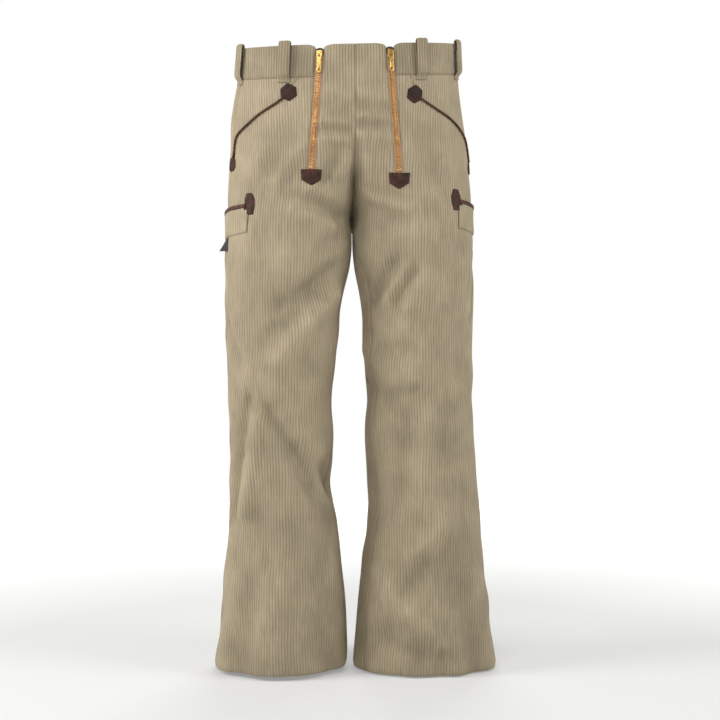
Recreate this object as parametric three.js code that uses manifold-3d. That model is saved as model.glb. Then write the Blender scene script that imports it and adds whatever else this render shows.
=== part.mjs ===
import * as THREE from 'three';
import { mergeVertices } from 'three/addons/utils/BufferGeometryUtils.js';
import Module from 'manifold-3d';

// Men's flared work trousers in wide-wale corduroy, filled out with no wearer, in millimetres.
// The origin is the middle of the waist opening, level with the waistband's upper edge at the sides.
// The front faces -Y, the wearer's left is +X and up is +Z.
// A place on the cloth is an angle round a leg and a level: 0 degrees is the outer side,
// 90 the front, 180 the inner side and -90 the back. Lift is the distance outwards from the cloth's face.

const clothWall = 2;
const bandWall = 3;
const seamGap = 0.3;
const seat = 0.35;
const leatherWall = 1.7;
const waistLevel = 0;
const bandHeight = 54;
const crotchLevel = -296;

// Creases fade out this close to the middle plane, so both halves meet.
const creaseFade = 30;

// The waist's edge dips in front and rises behind, and the left side is a little higher.
const waistDip = { front: 18, back: 15, side: 7.5, fadesOutAt: -200 };

// Outline of the hips: distance of each side from the middle, how far both halves are one oval
// (1 is one oval, 0 is two legs that touch), the place of the middle plane, and the depths.
const hipRows = [
  { z: 0, right: 188, left: 183, merge: 1, middle: 0, front: 104, back: 104 },
  { z: -50, right: 192, left: 185, merge: 1, middle: 0, front: 107, back: 108 },
  { z: -85, right: 198, left: 188, merge: 1, middle: 0, front: 109, back: 121 },
  { z: -120, right: 203, left: 193, merge: 0.97, middle: 0, front: 110, back: 133 },
  { z: -160, right: 205, left: 199, merge: 0.84, middle: 0.2, front: 111, back: 142 },
  { z: -200, right: 206, left: 203, merge: 0.58, middle: 0.8, front: 110, back: 144 },
  { z: -235, right: 208, left: 206, merge: 0.31, middle: 1.6, front: 108, back: 141 },
  { z: -262, right: 208.5, left: 207, merge: 0.14, middle: 2.3, front: 106, back: 135 },
  { z: -282, right: 209, left: 207.5, merge: 0.032, middle: 2.7, front: 104, back: 127 },
  { z: -296, right: 210, left: 208.5, merge: 0, middle: 2.8, front: 103, back: 121 },
  { z: -312, right: 211, left: 209.2, merge: 0, middle: 2.8, front: 102.2, back: 116 },
];

// Outline of the legs: outer and inner edge of each one, as places on X, and the depths.
const legRows = [
  { z: -296, rightOuter: -210, rightInner: 2.6, leftInner: 3, leftOuter: 208.5, front: 103, back: 121 },
  { z: -316, rightOuter: -211.5, rightInner: 2, leftInner: 3.8, leftOuter: 209.5, front: 102, back: 115 },
  { z: -349, rightOuter: -214, rightInner: 1.6, leftInner: 4.4, leftOuter: 211.5, front: 100, back: 109 },
  { z: -383, rightOuter: -214.3, rightInner: -2.6, leftInner: 8, leftOuter: 212, front: 98, back: 104 },
  { z: -435, rightOuter: -214.3, rightInner: -15, leftInner: 18.5, leftOuter: 212, front: 94, back: 98 },
  { z: -521, rightOuter: -211.4, rightInner: -23.4, leftInner: 22.4, leftOuter: 210.8, front: 88, back: 90 },
  { z: -607, rightOuter: -209.4, rightInner: -32.2, leftInner: 29.4, leftOuter: 210.4, front: 85, back: 83 },
  { z: -676, rightOuter: -205.2, rightInner: -29.8, leftInner: 26, leftOuter: 213.8, front: 84, back: 81 },
  { z: -744, rightOuter: -206.2, rightInner: -34.9, leftInner: 29, leftOuter: 219, front: 85, back: 84 },
  { z: -813, rightOuter: -207.6, rightInner: -22.9, leftInner: 30.6, leftOuter: 224.2, front: 88, back: 90 },
  { z: -882, rightOuter: -213.8, rightInner: -16, leftInner: 20.8, leftOuter: 229.4, front: 92, back: 96 },
  { z: -951, rightOuter: -219, rightInner: -9.1, leftInner: 14, leftOuter: 237.8, front: 96, back: 101 },
  { z: -1019, rightOuter: -225.8, rightInner: -5.7, leftInner: 8.1, leftOuter: 245.4, front: 99, back: 104 },
  { z: -1060, rightOuter: -231.5, rightInner: -7, leftInner: 4.6, leftOuter: 252, front: 100, back: 105 },
];

// The largest creases: two ends as angle and level, the half width of the crease and its height
// above the cloth, below zero for a trough.
const creases = {
  right: [
    { angle: 163, level: -394, toAngle: 120, toLevel: -426, width: 15, height: -7 },
    { angle: 120, level: -426, toAngle: 90, toLevel: -450, width: 15, height: -6 },
    { angle: 148, level: -428, toAngle: 118, toLevel: -462, width: 15, height: 4 },
    { angle: 118, level: -462, toAngle: 86, toLevel: -535, width: 19, height: 5 },
    { angle: 92, level: -484, toAngle: 76, toLevel: -502, width: 14, height: -4 },
    { angle: 88, level: -280, toAngle: 135, toLevel: -306, width: 12, height: -4 },
    { angle: 20, level: -482, toAngle: 40, toLevel: -535, width: 11, height: -5 },
    { angle: 34, level: -488, toAngle: 52, toLevel: -560, width: 12, height: 3 },
    { angle: 55, level: -612, toAngle: 40, toLevel: -678, width: 12, height: -6 },
    { angle: 40, level: -678, toAngle: 19, toLevel: -723, width: 12, height: -6 },
    { angle: 19, level: -723, toAngle: 18, toLevel: -790, width: 12, height: -4 },
    { angle: 60, level: -688, toAngle: 30, toLevel: -799, width: 15, height: 5 },
    { angle: 107, level: -672, toAngle: 118, toLevel: -720, width: 13, height: -7 },
    { angle: 118, level: -720, toAngle: 156, toLevel: -744, width: 13, height: -8 },
    { angle: 138, level: -690, toAngle: 172, toLevel: -704, width: 15, height: 6 },
    { angle: 92, level: -735, toAngle: 112, toLevel: -776, width: 16, height: 4 },
    { angle: 150, level: -810, toAngle: 128, toLevel: -900, width: 18, height: -4 },
    { angle: 112, level: -850, toAngle: 104, toLevel: -1060, width: 20, height: 4 },
    { angle: 66, level: -880, toAngle: 62, toLevel: -1060, width: 18, height: -4 },
    { angle: 30, level: -900, toAngle: 26, toLevel: -1060, width: 16, height: 3 },
    { angle: -36, level: -368, toAngle: -76, toLevel: -392, width: 17, height: -6 },
    { angle: -76, level: -392, toAngle: -130, toLevel: -366, width: 17, height: -7 },
    { angle: -60, level: -422, toAngle: -120, toLevel: -410, width: 17, height: 5 },
    { angle: -28, level: -640, toAngle: -90, toLevel: -668, width: 14, height: -8 },
    { angle: -90, level: -668, toAngle: -150, toLevel: -640, width: 14, height: -7 },
    { angle: -50, level: -606, toAngle: -120, toLevel: -616, width: 16, height: 6 },
    { angle: -60, level: -706, toAngle: -125, toLevel: -722, width: 15, height: 5 },
    { angle: -80, level: -745, toAngle: -140, toLevel: -775, width: 15, height: -5 },
    { angle: -55, level: -850, toAngle: -62, toLevel: -1060, width: 19, height: -4 },
    { angle: -105, level: -840, toAngle: -112, toLevel: -1060, width: 20, height: 4 },
  ],
  left: [
    { angle: 113, level: -383, toAngle: 135, toLevel: -418, width: 13, height: -6 },
    { angle: 94, level: -405, toAngle: 106, toLevel: -436, width: 13, height: -5 },
    { angle: 106, level: -398, toAngle: 120, toLevel: -428, width: 12, height: 3 },
    { angle: 90, level: -448, toAngle: 97, toLevel: -480, width: 18, height: 3 },
    { angle: 132, level: -516, toAngle: 100, toLevel: -522, width: 13, height: -4 },
    { angle: 98, level: -535, toAngle: 92, toLevel: -562, width: 16, height: 3 },
    { angle: 134, level: -594, toAngle: 106, toLevel: -592, width: 13, height: -5 },
    { angle: 168, level: -520, toAngle: 150, toLevel: -545, width: 14, height: 4 },
    { angle: 178, level: -575, toAngle: 150, toLevel: -590, width: 13, height: -4 },
    { angle: 46, level: -350, toAngle: 56, toLevel: -425, width: 11, height: -4 },
    { angle: 30, level: -356, toAngle: 36, toLevel: -450, width: 11, height: 4 },
    { angle: 18, level: -360, toAngle: 24, toLevel: -470, width: 10, height: -4 },
    { angle: 52, level: -610, toAngle: 34, toLevel: -700, width: 14, height: -3 },
    { angle: 120, level: -690, toAngle: 138, toLevel: -790, width: 16, height: -4 },
    { angle: 100, level: -720, toAngle: 112, toLevel: -830, width: 18, height: 3 },
    { angle: 70, level: -860, toAngle: 66, toLevel: -1060, width: 19, height: 4 },
    { angle: 110, level: -880, toAngle: 116, toLevel: -1060, width: 19, height: -4 },
    { angle: 36, level: -900, toAngle: 32, toLevel: -1060, width: 17, height: -3 },
    { angle: -34, level: -362, toAngle: -75, toLevel: -384, width: 17, height: -6 },
    { angle: -75, level: -384, toAngle: -135, toLevel: -364, width: 16, height: -7 },
    { angle: -55, level: -414, toAngle: -115, toLevel: -418, width: 17, height: 5 },
    { angle: -30, level: -652, toAngle: -95, toLevel: -672, width: 14, height: -7 },
    { angle: -95, level: -672, toAngle: -150, toLevel: -654, width: 14, height: -7 },
    { angle: -60, level: -618, toAngle: -125, toLevel: -622, width: 16, height: 5 },
    { angle: -55, level: -715, toAngle: -120, toLevel: -726, width: 15, height: 5 },
    { angle: -75, level: -760, toAngle: -135, toLevel: -748, width: 15, height: -4 },
    { angle: -60, level: -860, toAngle: -66, toLevel: -1060, width: 19, height: 4 },
    { angle: -108, level: -850, toAngle: -116, toLevel: -1060, width: 20, height: -4 },
  ],
};

// The slanted pocket mouth, from the waistband's seam down to the side seam.
const mouthRows = [
  { z: -54, right: 61, left: 60 },
  { z: -67, right: 58, left: 58.5 },
  { z: -90, right: 53.8, left: 56.5 },
  { z: -113, right: 44.2, left: 45.5 },
  { z: -134, right: 33.6, left: 31.8 },
  { z: -152, right: 23.5, left: 21 },
  { z: -162, right: 19.6, left: 15.5 },
  { z: -178, right: 17.2, left: 11.6 },
  { z: -196, right: 15.5, left: 9.8 },
  { z: -207, right: 14, left: 9 },
];
const mouthEnd = -190;
const pipingEnd = -194.5;

// The panels' columns are even from this level down, and the inseam has its full shift there.
const evenFrom = -420;
const inseamSettles = -400;

// The side seam swings from a little in front of the side at the hip to nearly the side below.
const seamRows = [
  { z: -207, right: 14, left: 9 },
  { z: -420, right: 7, left: 5 },
];

const zip = {
  top: -12,
  bottom: -232,
  topX: 58.7,
  lean: 0.0636,
  slit: 13.2,
  tapeWidth: 28,
  tapeLift: -3.1,
  tapeWall: 1,
  chainWidth: 6.2,
  chainLift: -0.6,
};
const slider = { level: -18, length: 16, width: 10.4, plate: 1.3, post: 3.4, postWidth: 3 };
const bail = { inner: 1.3, outer: 2.7, halfWall: 1, axisHeight: 1.4 };
const pull = {
  length: 30,
  width: 8.6,
  neckWidth: 6.4,
  wall: 1.3,
  barHalf: 0.7,
  windowHalf: 1.6,
  bodyFrom: 3.5,
  holeRadius: 2,
  holeAt: 24.5,
};
const loop = {
  width: 20,
  wall: 2.2,
  standOff: 7.4,
  rise: 7,
  tuck: 12,
  reachBelowBand: 8,
};
const frontLoopAngle = 53;
const pipingRadius = 1.7;

// Leather patches: a row for each level down the patch, with its edges to both sides.
const mouthPatchRows = [
  { down: -16.5, from: -1.5, to: 1.5 },
  { down: -8, from: -13.8, to: 13.8 },
  { down: 8, from: -13.8, to: 13.8 },
  { down: 16.5, from: -1.5, to: 1.5 },
];
const sidePatchLevel = -208;
const sidePatchRows = [
  { down: -12, from: -6, to: 6 },
  { down: -6, from: -11, to: 11 },
  { down: 6, from: -11, to: 11 },
  { down: 12, from: -6, to: 6 },
];
const zipPatchRows = [
  { down: 0, from: -17.6, to: 17.6 },
  { down: 8, from: -17.8, to: 17.8 },
  { down: 17, from: -17.6, to: 17.6 },
  { down: 22, from: -9.5, to: 9.5 },
  { down: 26, from: -1.5, to: 1.5 },
];
const bindingPatchRows = [
  { down: -18, from: -5, to: 5 },
  { down: -7, from: -10.2, to: 10.2 },
  { down: 4, from: -10.6, to: 10.6 },
  { down: 18, from: -8, to: 7 },
];

const thighPocket = {
  frontAngle: 47.5,
  patchAngle: 41,
  backAngle: -40,
  slope: 0.13,
  height: 41,
  wall: 2.2,
  gape: 2.4,
};
const binding = { width: 7, wall: 3.2, patchDown: -6 };
const tab = { angle: -2, width: 15, height: 19, wall: 1.2, hangsOut: 5 };

// What differs between the sides: levels of the hem, the thigh pocket and the zip's patch, place
// and turn of the mouth's patch, where its piping starts, and the side loop's and inseam's angles.
const sides = {
  right: {
    name: 'right',
    sign: -1,
    hemLevel: -1056.5,
    pocketLevel: -286,
    zipPatchLevel: -226,
    patchAngle: 56.4,
    patchLevel: -80,
    patchTurn: -5,
    pipingTop: -95,
    sideLoopAngle: 13,
    inseam: 16,
  },
  left: {
    name: 'left',
    sign: 1,
    hemLevel: -1061.5,
    pocketLevel: -276,
    zipPatchLevel: -230,
    patchAngle: 57.9,
    patchLevel: -88,
    patchTurn: -7,
    pipingTop: -101.5,
    sideLoopAngle: 15,
    inseam: 27,
  },
};

const radians = THREE.MathUtils.degToRad;
const degrees = THREE.MathUtils.radToDeg;
const mix = THREE.MathUtils.lerp;
const smooth = (value, from, to) =>
  THREE.MathUtils.smoothstep(value, Math.min(from, to), Math.max(from, to));

// A smooth curve through one column of a table whose rows go down in z.
function along(rows, column, z) {
  const last = rows.length - 1;
  if (z >= rows[0].z) return rows[0][column];
  if (z <= rows[last].z) return rows[last][column];
  const slope = (k) => {
    const above = rows[Math.max(k - 1, 0)];
    const below = rows[Math.min(k + 1, last)];
    return (below[column] - above[column]) / (below.z - above.z);
  };
  const i = rows.findIndex((row) => row.z <= z) - 1;
  const span = rows[i + 1].z - rows[i].z;
  const t = (z - rows[i].z) / span;
  const rise = t * t * (3 - 2 * t);
  const lead = t * (1 - t) * (1 - t) * span * slope(i);
  const trail = t * t * (t - 1) * span * slope(i + 1);
  return mix(rows[i][column], rows[i + 1][column], rise) + lead + trail;
}

// The oval of one side at a level: its centre and half width on X, its depths and the angle
// at which it meets the middle plane.
function ovalAt(side, level) {
  if (level > crotchLevel) {
    const middle = along(hipRows, 'middle', level);
    const merge = THREE.MathUtils.clamp(along(hipRows, 'merge', level), 0, 1);
    const reach = along(hipRows, side.name, level) - side.sign * middle;
    const lobe = (1 - merge) / (1 + merge);
    const half = reach / (1 + lobe);
    return {
      centre: middle + side.sign * lobe * half,
      half,
      front: along(hipRows, 'front', level),
      back: along(hipRows, 'back', level),
      end: degrees(Math.acos(-lobe)),
    };
  }
  const outer = along(legRows, `${side.name}Outer`, level);
  const inner = along(legRows, `${side.name}Inner`, level);
  return {
    centre: (outer + inner) / 2,
    half: Math.abs(outer - inner) / 2,
    front: along(legRows, 'front', level),
    back: along(legRows, 'back', level),
    end: 180,
  };
}

// Height of all creases at a place: each is a soft bell across its line.
function creaseHeight(side, angle, level) {
  const perDegree = 1.75;
  let height = 0;
  for (const crease of creases[side.name]) {
    const line = [(crease.toAngle - crease.angle) * perDegree, crease.toLevel - crease.level];
    const place = [(angle - crease.angle) * perDegree, level - crease.level];
    const length = line[0] ** 2 + line[1] ** 2;
    const t = THREE.MathUtils.clamp((place[0] * line[0] + place[1] * line[1]) / length, 0, 1);
    const off = Math.hypot(place[0] - t * line[0], place[1] - t * line[1]);
    height += crease.height * Math.exp(-((off / crease.width) ** 2));
  }
  return height;
}

// How far the waist's dip moves a place up or down.
function dipAt(across, deep, level) {
  const fade = smooth(level, waistDip.fadesOutAt, -bandHeight);
  const slope = (waistDip.front + waistDip.back) / 2;
  const bow = (waistDip.front - waistDip.back) / 2;
  return fade * (slope * deep - bow * Math.abs(deep) + waistDip.side * across);
}

// The cloth's face at an angle and level, creases included.
function facePoint(side, angle, level) {
  const oval = ovalAt(side, level);
  const cos = Math.cos(radians(angle));
  const sin = Math.sin(radians(angle));
  const depth = sin > 0 ? oval.front : oval.back;
  const outwards = new THREE.Vector2((side.sign * cos) / oval.half, -sin / depth).normalize();
  const x = oval.centre + side.sign * oval.half * cos;
  const y = -depth * sin;
  const middle = along(hipRows, 'middle', level);
  const wrapped = angle < -180 ? angle + 360 : angle;
  const height = creaseHeight(side, wrapped, level) * smooth(Math.abs(x - middle), 0, creaseFade);
  const z = level + dipAt(x / oval.half, y / depth, level);
  return new THREE.Vector3(x + outwards.x * height, y + outwards.y * height, z);
}

// Outward direction of the face, from places a little to each side of this one.
function faceNormal(side, angle, level) {
  const step = 0.5;
  const round = facePoint(side, angle + step, level).sub(facePoint(side, angle - step, level));
  const down = facePoint(side, angle, level - step).sub(facePoint(side, angle, level + step));
  return round.cross(down).multiplyScalar(side.sign).normalize();
}

function bodyPoint(side, angle, level, lift) {
  return facePoint(side, angle, level).addScaledVector(faceNormal(side, angle, level), lift);
}

// Degrees for one millimetre round the cloth at a place.
function degreesPerMm(side, angle, level) {
  const step = 1;
  const from = facePoint(side, angle - step, level);
  return (2 * step) / from.distanceTo(facePoint(side, angle + step, level));
}

// The angle on the front at which the cloth has this distance from the middle plane.
function angleAtX(side, distance, level) {
  const oval = ovalAt(side, level);
  const fromCentre = (side.sign * distance - oval.centre) / (side.sign * oval.half);
  return degrees(Math.acos(THREE.MathUtils.clamp(fromCentre, -1, 1)));
}

function seamAngle(side, level) {
  return along(seamRows, side.name, level);
}

// The front panel's outer edge: the pocket mouth above, the side seam below.
function frontEdge(side, level) {
  const mouthLevel = mouthRows[mouthRows.length - 1].z;
  return level > mouthLevel ? along(mouthRows, side.name, level) : seamAngle(side, level);
}

// The angle of the inseam, which lies a little to the front below the crotch, or of the
// middle plane above it.
function innerEdge(side, level) {
  const shift = side.inseam * (1 - smooth(level, inseamSettles, crotchLevel));
  return ovalAt(side, level).end - shift;
}

function zipAngle(side, level, offset) {
  const distance = zip.topX + zip.lean * (zip.top - level) + offset;
  return angleAtX(side, distance, level);
}

// A closed wall between two grids of points. keep says which cells it has.
function wallGeometry(outer, inner, keep) {
  const rows = outer.length - 1;
  const columns = outer[0].length - 1;
  const numbers = new Map();
  const positions = [];
  const triangles = [];
  const number = (grid, i, j) => {
    const key = `${grid === outer ? 'o' : 'i'}${i},${j}`;
    if (!numbers.has(key)) {
      numbers.set(key, positions.length / 3);
      positions.push(...grid[i][j].toArray());
    }
    return numbers.get(key);
  };
  const quad = (a, b, c, d) => triangles.push(a, b, c, a, c, d);
  const has = (i, j) => i >= 0 && j >= 0 && i < rows && j < columns && keep(i, j);
  const rim = (i, j, k, l) =>
    quad(number(outer, i, j), number(outer, k, l), number(inner, k, l), number(inner, i, j));
  for (let i = 0; i < rows; i += 1) {
    for (let j = 0; j < columns; j += 1) {
      if (!has(i, j)) continue;
      quad(number(outer, i, j), number(outer, i + 1, j), number(outer, i + 1, j + 1), number(outer, i, j + 1));
      quad(number(inner, i, j), number(inner, i, j + 1), number(inner, i + 1, j + 1), number(inner, i + 1, j));
      if (!has(i - 1, j)) rim(i, j, i, j + 1);
      if (!has(i + 1, j)) rim(i + 1, j + 1, i + 1, j);
      if (!has(i, j - 1)) rim(i + 1, j, i, j);
      if (!has(i, j + 1)) rim(i, j + 1, i + 1, j + 1);
    }
  }
  const geometry = new THREE.BufferGeometry();
  geometry.setAttribute('position', new THREE.Float32BufferAttribute(positions, 3));
  geometry.setIndex(triangles);
  return facingOut(geometry);
}

// Six times the volume inside a closed geometry, below zero when its faces point in.
function signedVolume(geometry) {
  const position = geometry.getAttribute('position');
  const index = geometry.getIndex();
  const corners = [new THREE.Vector3(), new THREE.Vector3(), new THREE.Vector3()];
  let volume = 0;
  for (let i = 0; i < index.count; i += 3) {
    corners.forEach((corner, k) => corner.fromBufferAttribute(position, index.getX(i + k)));
    volume += corners[0].dot(corners[1].clone().cross(corners[2]));
  }
  return volume;
}

function facingOut(geometry) {
  if (signedVolume(geometry) < 0) geometry.getIndex().array.reverse();
  geometry.computeVertexNormals();
  return geometry;
}

const everyCell = () => true;

// A wall that follows the cloth: levels down, columns round, place gives angle and lifts.
function clothGeometry(side, rows, columns, place, keep = everyCell) {
  const outer = [];
  const inner = [];
  for (let i = 0; i <= rows; i += 1) {
    outer.push([]);
    inner.push([]);
    for (let j = 0; j <= columns; j += 1) {
      const { angle, level, top, bottom } = place(i, j);
      outer[i].push(bodyPoint(side, angle, level, top));
      inner[i].push(bodyPoint(side, angle, level, bottom));
    }
  }
  return wallGeometry(outer, inner, keep);
}

// A leather patch laid on the cloth, turned by a number of degrees about its middle. It stays
// upright: the cloth's own angle drifts with the level, so it is taken from the distance across.
function patchGeometry(side, rows, centre, turn) {
  const columns = 4;
  const rate = degreesPerMm(side, centre.angle, centre.level);
  const distance = side.sign * facePoint(side, centre.angle, centre.level).x;
  const cos = Math.cos(radians(turn));
  const sin = Math.sin(radians(turn));
  return clothGeometry(side, rows.length - 1, columns, (i, j) => {
    const across = mix(rows[i].from, rows[i].to, j / columns);
    const level = centre.level - (across * sin + rows[i].down * cos);
    const angle = angleAtX(side, distance, level) + (across * cos - rows[i].down * sin) * rate;
    return { angle, level, top: seat + leatherWall, bottom: seat };
  });
}

const wasm = await Module();
wasm.setup();

function solidOf(geometry) {
  geometry.deleteAttribute('normal');
  geometry.deleteAttribute('uv');
  const merged = mergeVertices(geometry, 1e-4);
  return new wasm.Manifold(new wasm.Mesh({
    numProp: 3,
    vertProperties: new Float32Array(merged.getAttribute('position').array),
    triVerts: new Uint32Array(merged.getIndex().array),
  }));
}

function geometryOf(solid) {
  const mesh = solid.getMesh();
  const geometry = new THREE.BufferGeometry();
  geometry.setAttribute('position', new THREE.BufferAttribute(mesh.vertProperties, 3));
  geometry.setIndex(new THREE.BufferAttribute(mesh.triVerts, 1));
  return facingOut(geometry);
}

function boxSolid(width, length, height, x, y, z) {
  return solidOf(new THREE.BoxGeometry(width, length, height).translate(x, y, z));
}

const finishes = {
  corduroy: { color: 0xa89a7e, roughness: 0.95, metalness: 0 },
  leather: { color: 0x45342e, roughness: 0.6, metalness: 0 },
  tape: { color: 0xc4a68a, roughness: 0.9, metalness: 0 },
  brass: { color: 0xc9a45c, roughness: 0.35, metalness: 1 },
  tabCloth: { color: 0x2a1a1c, roughness: 0.8, metalness: 0 },
};

const trousers = new THREE.Group();

function add(name, finish, geometry) {
  const mesh = new THREE.Mesh(geometry, new THREE.MeshStandardMaterial(finishes[finish]));
  mesh.name = name;
  trousers.add(mesh);
  return mesh;
}

const bandLevels = [waistLevel, -18, -36];
const hipLevels = [-72, -90, -107, -123, -138, -152, -170, mouthEnd, -211, zip.bottom];
const crotchLevels = [-246, -258, -269, -278, -285, -290.5, -294.5, crotchLevel, -299, -307, -320, -340, -364];

// Levels of the panels' rows: close together where the legs part, then even down to the hem.
function panelLevels(side, fromTop) {
  const levels = fromTop ? bandLevels.slice() : [];
  levels.push(-bandHeight - seamGap, ...hipLevels, ...crotchLevels);
  const legRowCount = 22;
  const legTop = levels[levels.length - 1];
  for (let i = 1; i <= legRowCount; i += 1) levels.push(mix(legTop, side.hemLevel, i / legRowCount));
  return levels;
}

// The front of one leg, with half of the flap between the zips and the slit for its zip.
function frontPanel(side) {
  const levels = panelLevels(side, true);
  const outerColumns = 5;
  const innerColumns = 5;
  const columns = outerColumns + 1 + innerColumns;
  const slitRow = levels.indexOf(zip.bottom);
  const bandRow = bandLevels.length;
  const angleOf = (level, j) => {
    const gap = (seamGap / 2) * degreesPerMm(side, frontEdge(side, level), level);
    const edge = frontEdge(side, level) + gap;
    const end = innerEdge(side, level) - gap;
    const even = smooth(level, zip.bottom, evenFrom);
    const zipLevel = Math.max(level, zip.bottom);
    const slitAt = (j, offset) => mix(mix(edge, end, j / columns), zipAngle(side, zipLevel, offset), even);
    const outerSlit = slitAt(outerColumns, zip.slit / 2);
    const innerSlit = slitAt(outerColumns + 1, -zip.slit / 2);
    if (j <= outerColumns) return mix(edge, outerSlit, j / outerColumns);
    return mix(innerSlit, end, (j - outerColumns - 1) / innerColumns);
  };
  const keep = (i, j) => {
    if (j > outerColumns) return true;
    return i >= (j === outerColumns ? slitRow : bandRow);
  };
  const place = (i, j) => ({ angle: angleOf(levels[i], j), level: levels[i], top: 0, bottom: -clothWall });
  return clothGeometry(side, levels.length - 1, columns, place, keep);
}

function backPanel(side) {
  const levels = panelLevels(side, false);
  const columns = 10;
  const place = (i, j) => {
    const level = levels[i];
    const edge = seamAngle(side, level);
    const gap = (seamGap / 2) * degreesPerMm(side, edge, level);
    const above = level > crotchLevel;
    const end = above ? -innerEdge(side, level) : innerEdge(side, level) - 360;
    return { angle: mix(edge - gap, end + gap, j / columns), level, top: 0, bottom: -clothWall };
  };
  return clothGeometry(side, levels.length - 1, columns, place);
}

// The hip piece that shows above the slanted pocket mouth.
function hipPiece(side) {
  const levels = panelLevels(side, false).filter((level) => level >= mouthEnd);
  const columns = 3;
  const place = (i, j) => {
    const level = levels[i];
    const gap = (seamGap / 2) * degreesPerMm(side, frontEdge(side, level), level);
    const angle = mix(seamAngle(side, level) + gap, frontEdge(side, level) - gap, j / columns);
    return { angle, level, top: 0, bottom: -clothWall };
  };
  return clothGeometry(side, levels.length - 1, columns, place);
}

// Waistband: a wall a little thicker than the panels, flush with them inside.
function bandPlace(angle, i, rows) {
  const level = mix(waistLevel, -bandHeight + seamGap / 2, i / rows);
  return { angle, level, top: bandWall - clothWall, bottom: -clothWall };
}

function frontBand(side) {
  const rows = 3;
  const columns = 6;
  return clothGeometry(side, rows, columns, (i, j) => {
    const level = mix(waistLevel, -bandHeight, i / rows);
    const slitEdge = zipAngle(side, level, zip.slit / 2);
    const gap = (seamGap / 2) * degreesPerMm(side, seamAngle(side, level), level);
    return bandPlace(mix(seamAngle(side, level) + gap, slitEdge, j / columns), i, rows);
  });
}

// The back waistband is one piece round both halves, so its columns cross the middle.
function backBand() {
  const rows = 3;
  const half = 9;
  const outer = [];
  const inner = [];
  for (let i = 0; i <= rows; i += 1) {
    outer.push([]);
    inner.push([]);
    for (let j = 0; j <= 2 * half; j += 1) {
      const side = j < half ? sides.right : sides.left;
      const gap = (seamGap / 2) * degreesPerMm(side, seamAngle(side, waistLevel), waistLevel);
      const fromSeam = Math.min(j, 2 * half - j) / half;
      const place = bandPlace(mix(seamAngle(side, waistLevel) - gap, -90, fromSeam), i, rows);
      outer[i].push(bodyPoint(side, place.angle, place.level, place.top));
      inner[i].push(bodyPoint(side, place.angle, place.level, place.bottom));
    }
  }
  return wallGeometry(outer, inner, everyCell);
}

// A belt loop: a strip sewn below the band, standing off it, folded over above its edge and
// tucked back down onto its face. Each path point is a lift above the band and a level.
function loopGeometry(side, centreAngle) {
  const foot = bandWall - clothWall + seat;
  const off = foot + loop.standOff;
  const path = [
    { lift: seat, level: -bandHeight - loop.reachBelowBand },
    { lift: seat + 0.6, level: -bandHeight - 2 },
    { lift: off - 1.5, level: -bandHeight + 4 },
    { lift: off, level: -bandHeight + 10 },
    { lift: off, level: -22 },
    { lift: off - 0.3, level: loop.rise - 5 },
    { lift: off - 1.6, level: loop.rise - 2.2 },
    { lift: mix(foot, off, 0.5) + 0.2, level: loop.rise - loop.wall / 2 },
    { lift: foot + 1.2, level: loop.rise - 3.6 },
    { lift: foot + loop.wall / 2, level: -2 },
    { lift: foot + loop.wall / 2, level: -loop.tuck },
  ];
  path[0].lift += loop.wall / 2;
  path[1].lift += loop.wall / 2;
  const columns = 4;
  const rate = degreesPerMm(side, centreAngle, -bandHeight / 2);
  const outer = [];
  const inner = [];
  path.forEach((point, i) => {
    const before = path[Math.max(i - 1, 0)];
    const after = path[Math.min(i + 1, path.length - 1)];
    const run = new THREE.Vector2(after.lift - before.lift, after.level - before.level).normalize();
    const half = loop.wall / 2;
    outer.push([]);
    inner.push([]);
    for (let j = 0; j <= columns; j += 1) {
      const angle = centreAngle + (j / columns - 0.5) * loop.width * rate;
      outer[i].push(bodyPoint(side, angle, point.level - run.x * half, point.lift + run.y * half));
      inner[i].push(bodyPoint(side, angle, point.level + run.x * half, point.lift - run.y * half));
    }
  });
  return wallGeometry(outer, inner, everyCell);
}

// The zip's tape, wider than its slit and behind the cloth, with the chain raised along it.
function zipGeometry(side) {
  const flank = 0.25;
  const sections = [
    { offset: -zip.tapeWidth / 2, lift: zip.tapeLift },
    { offset: -zip.chainWidth / 2 - flank, lift: zip.tapeLift },
    { offset: -zip.chainWidth / 2, lift: zip.chainLift },
    { offset: zip.chainWidth / 2, lift: zip.chainLift },
    { offset: zip.chainWidth / 2 + flank, lift: zip.tapeLift },
    { offset: zip.tapeWidth / 2, lift: zip.tapeLift },
  ];
  const top = slider.level + slider.length / 2 - slider.post - seamGap;
  const bottom = zip.bottom + 2 * seamGap;
  const rows = 14;
  return clothGeometry(side, rows, sections.length - 1, (i, j) => {
    const level = mix(top, bottom, i / rows);
    const angle = zipAngle(side, level, sections[j].offset);
    return { angle, level, top: sections[j].lift, bottom: zip.tapeLift - zip.tapeWall };
  });
}

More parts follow.
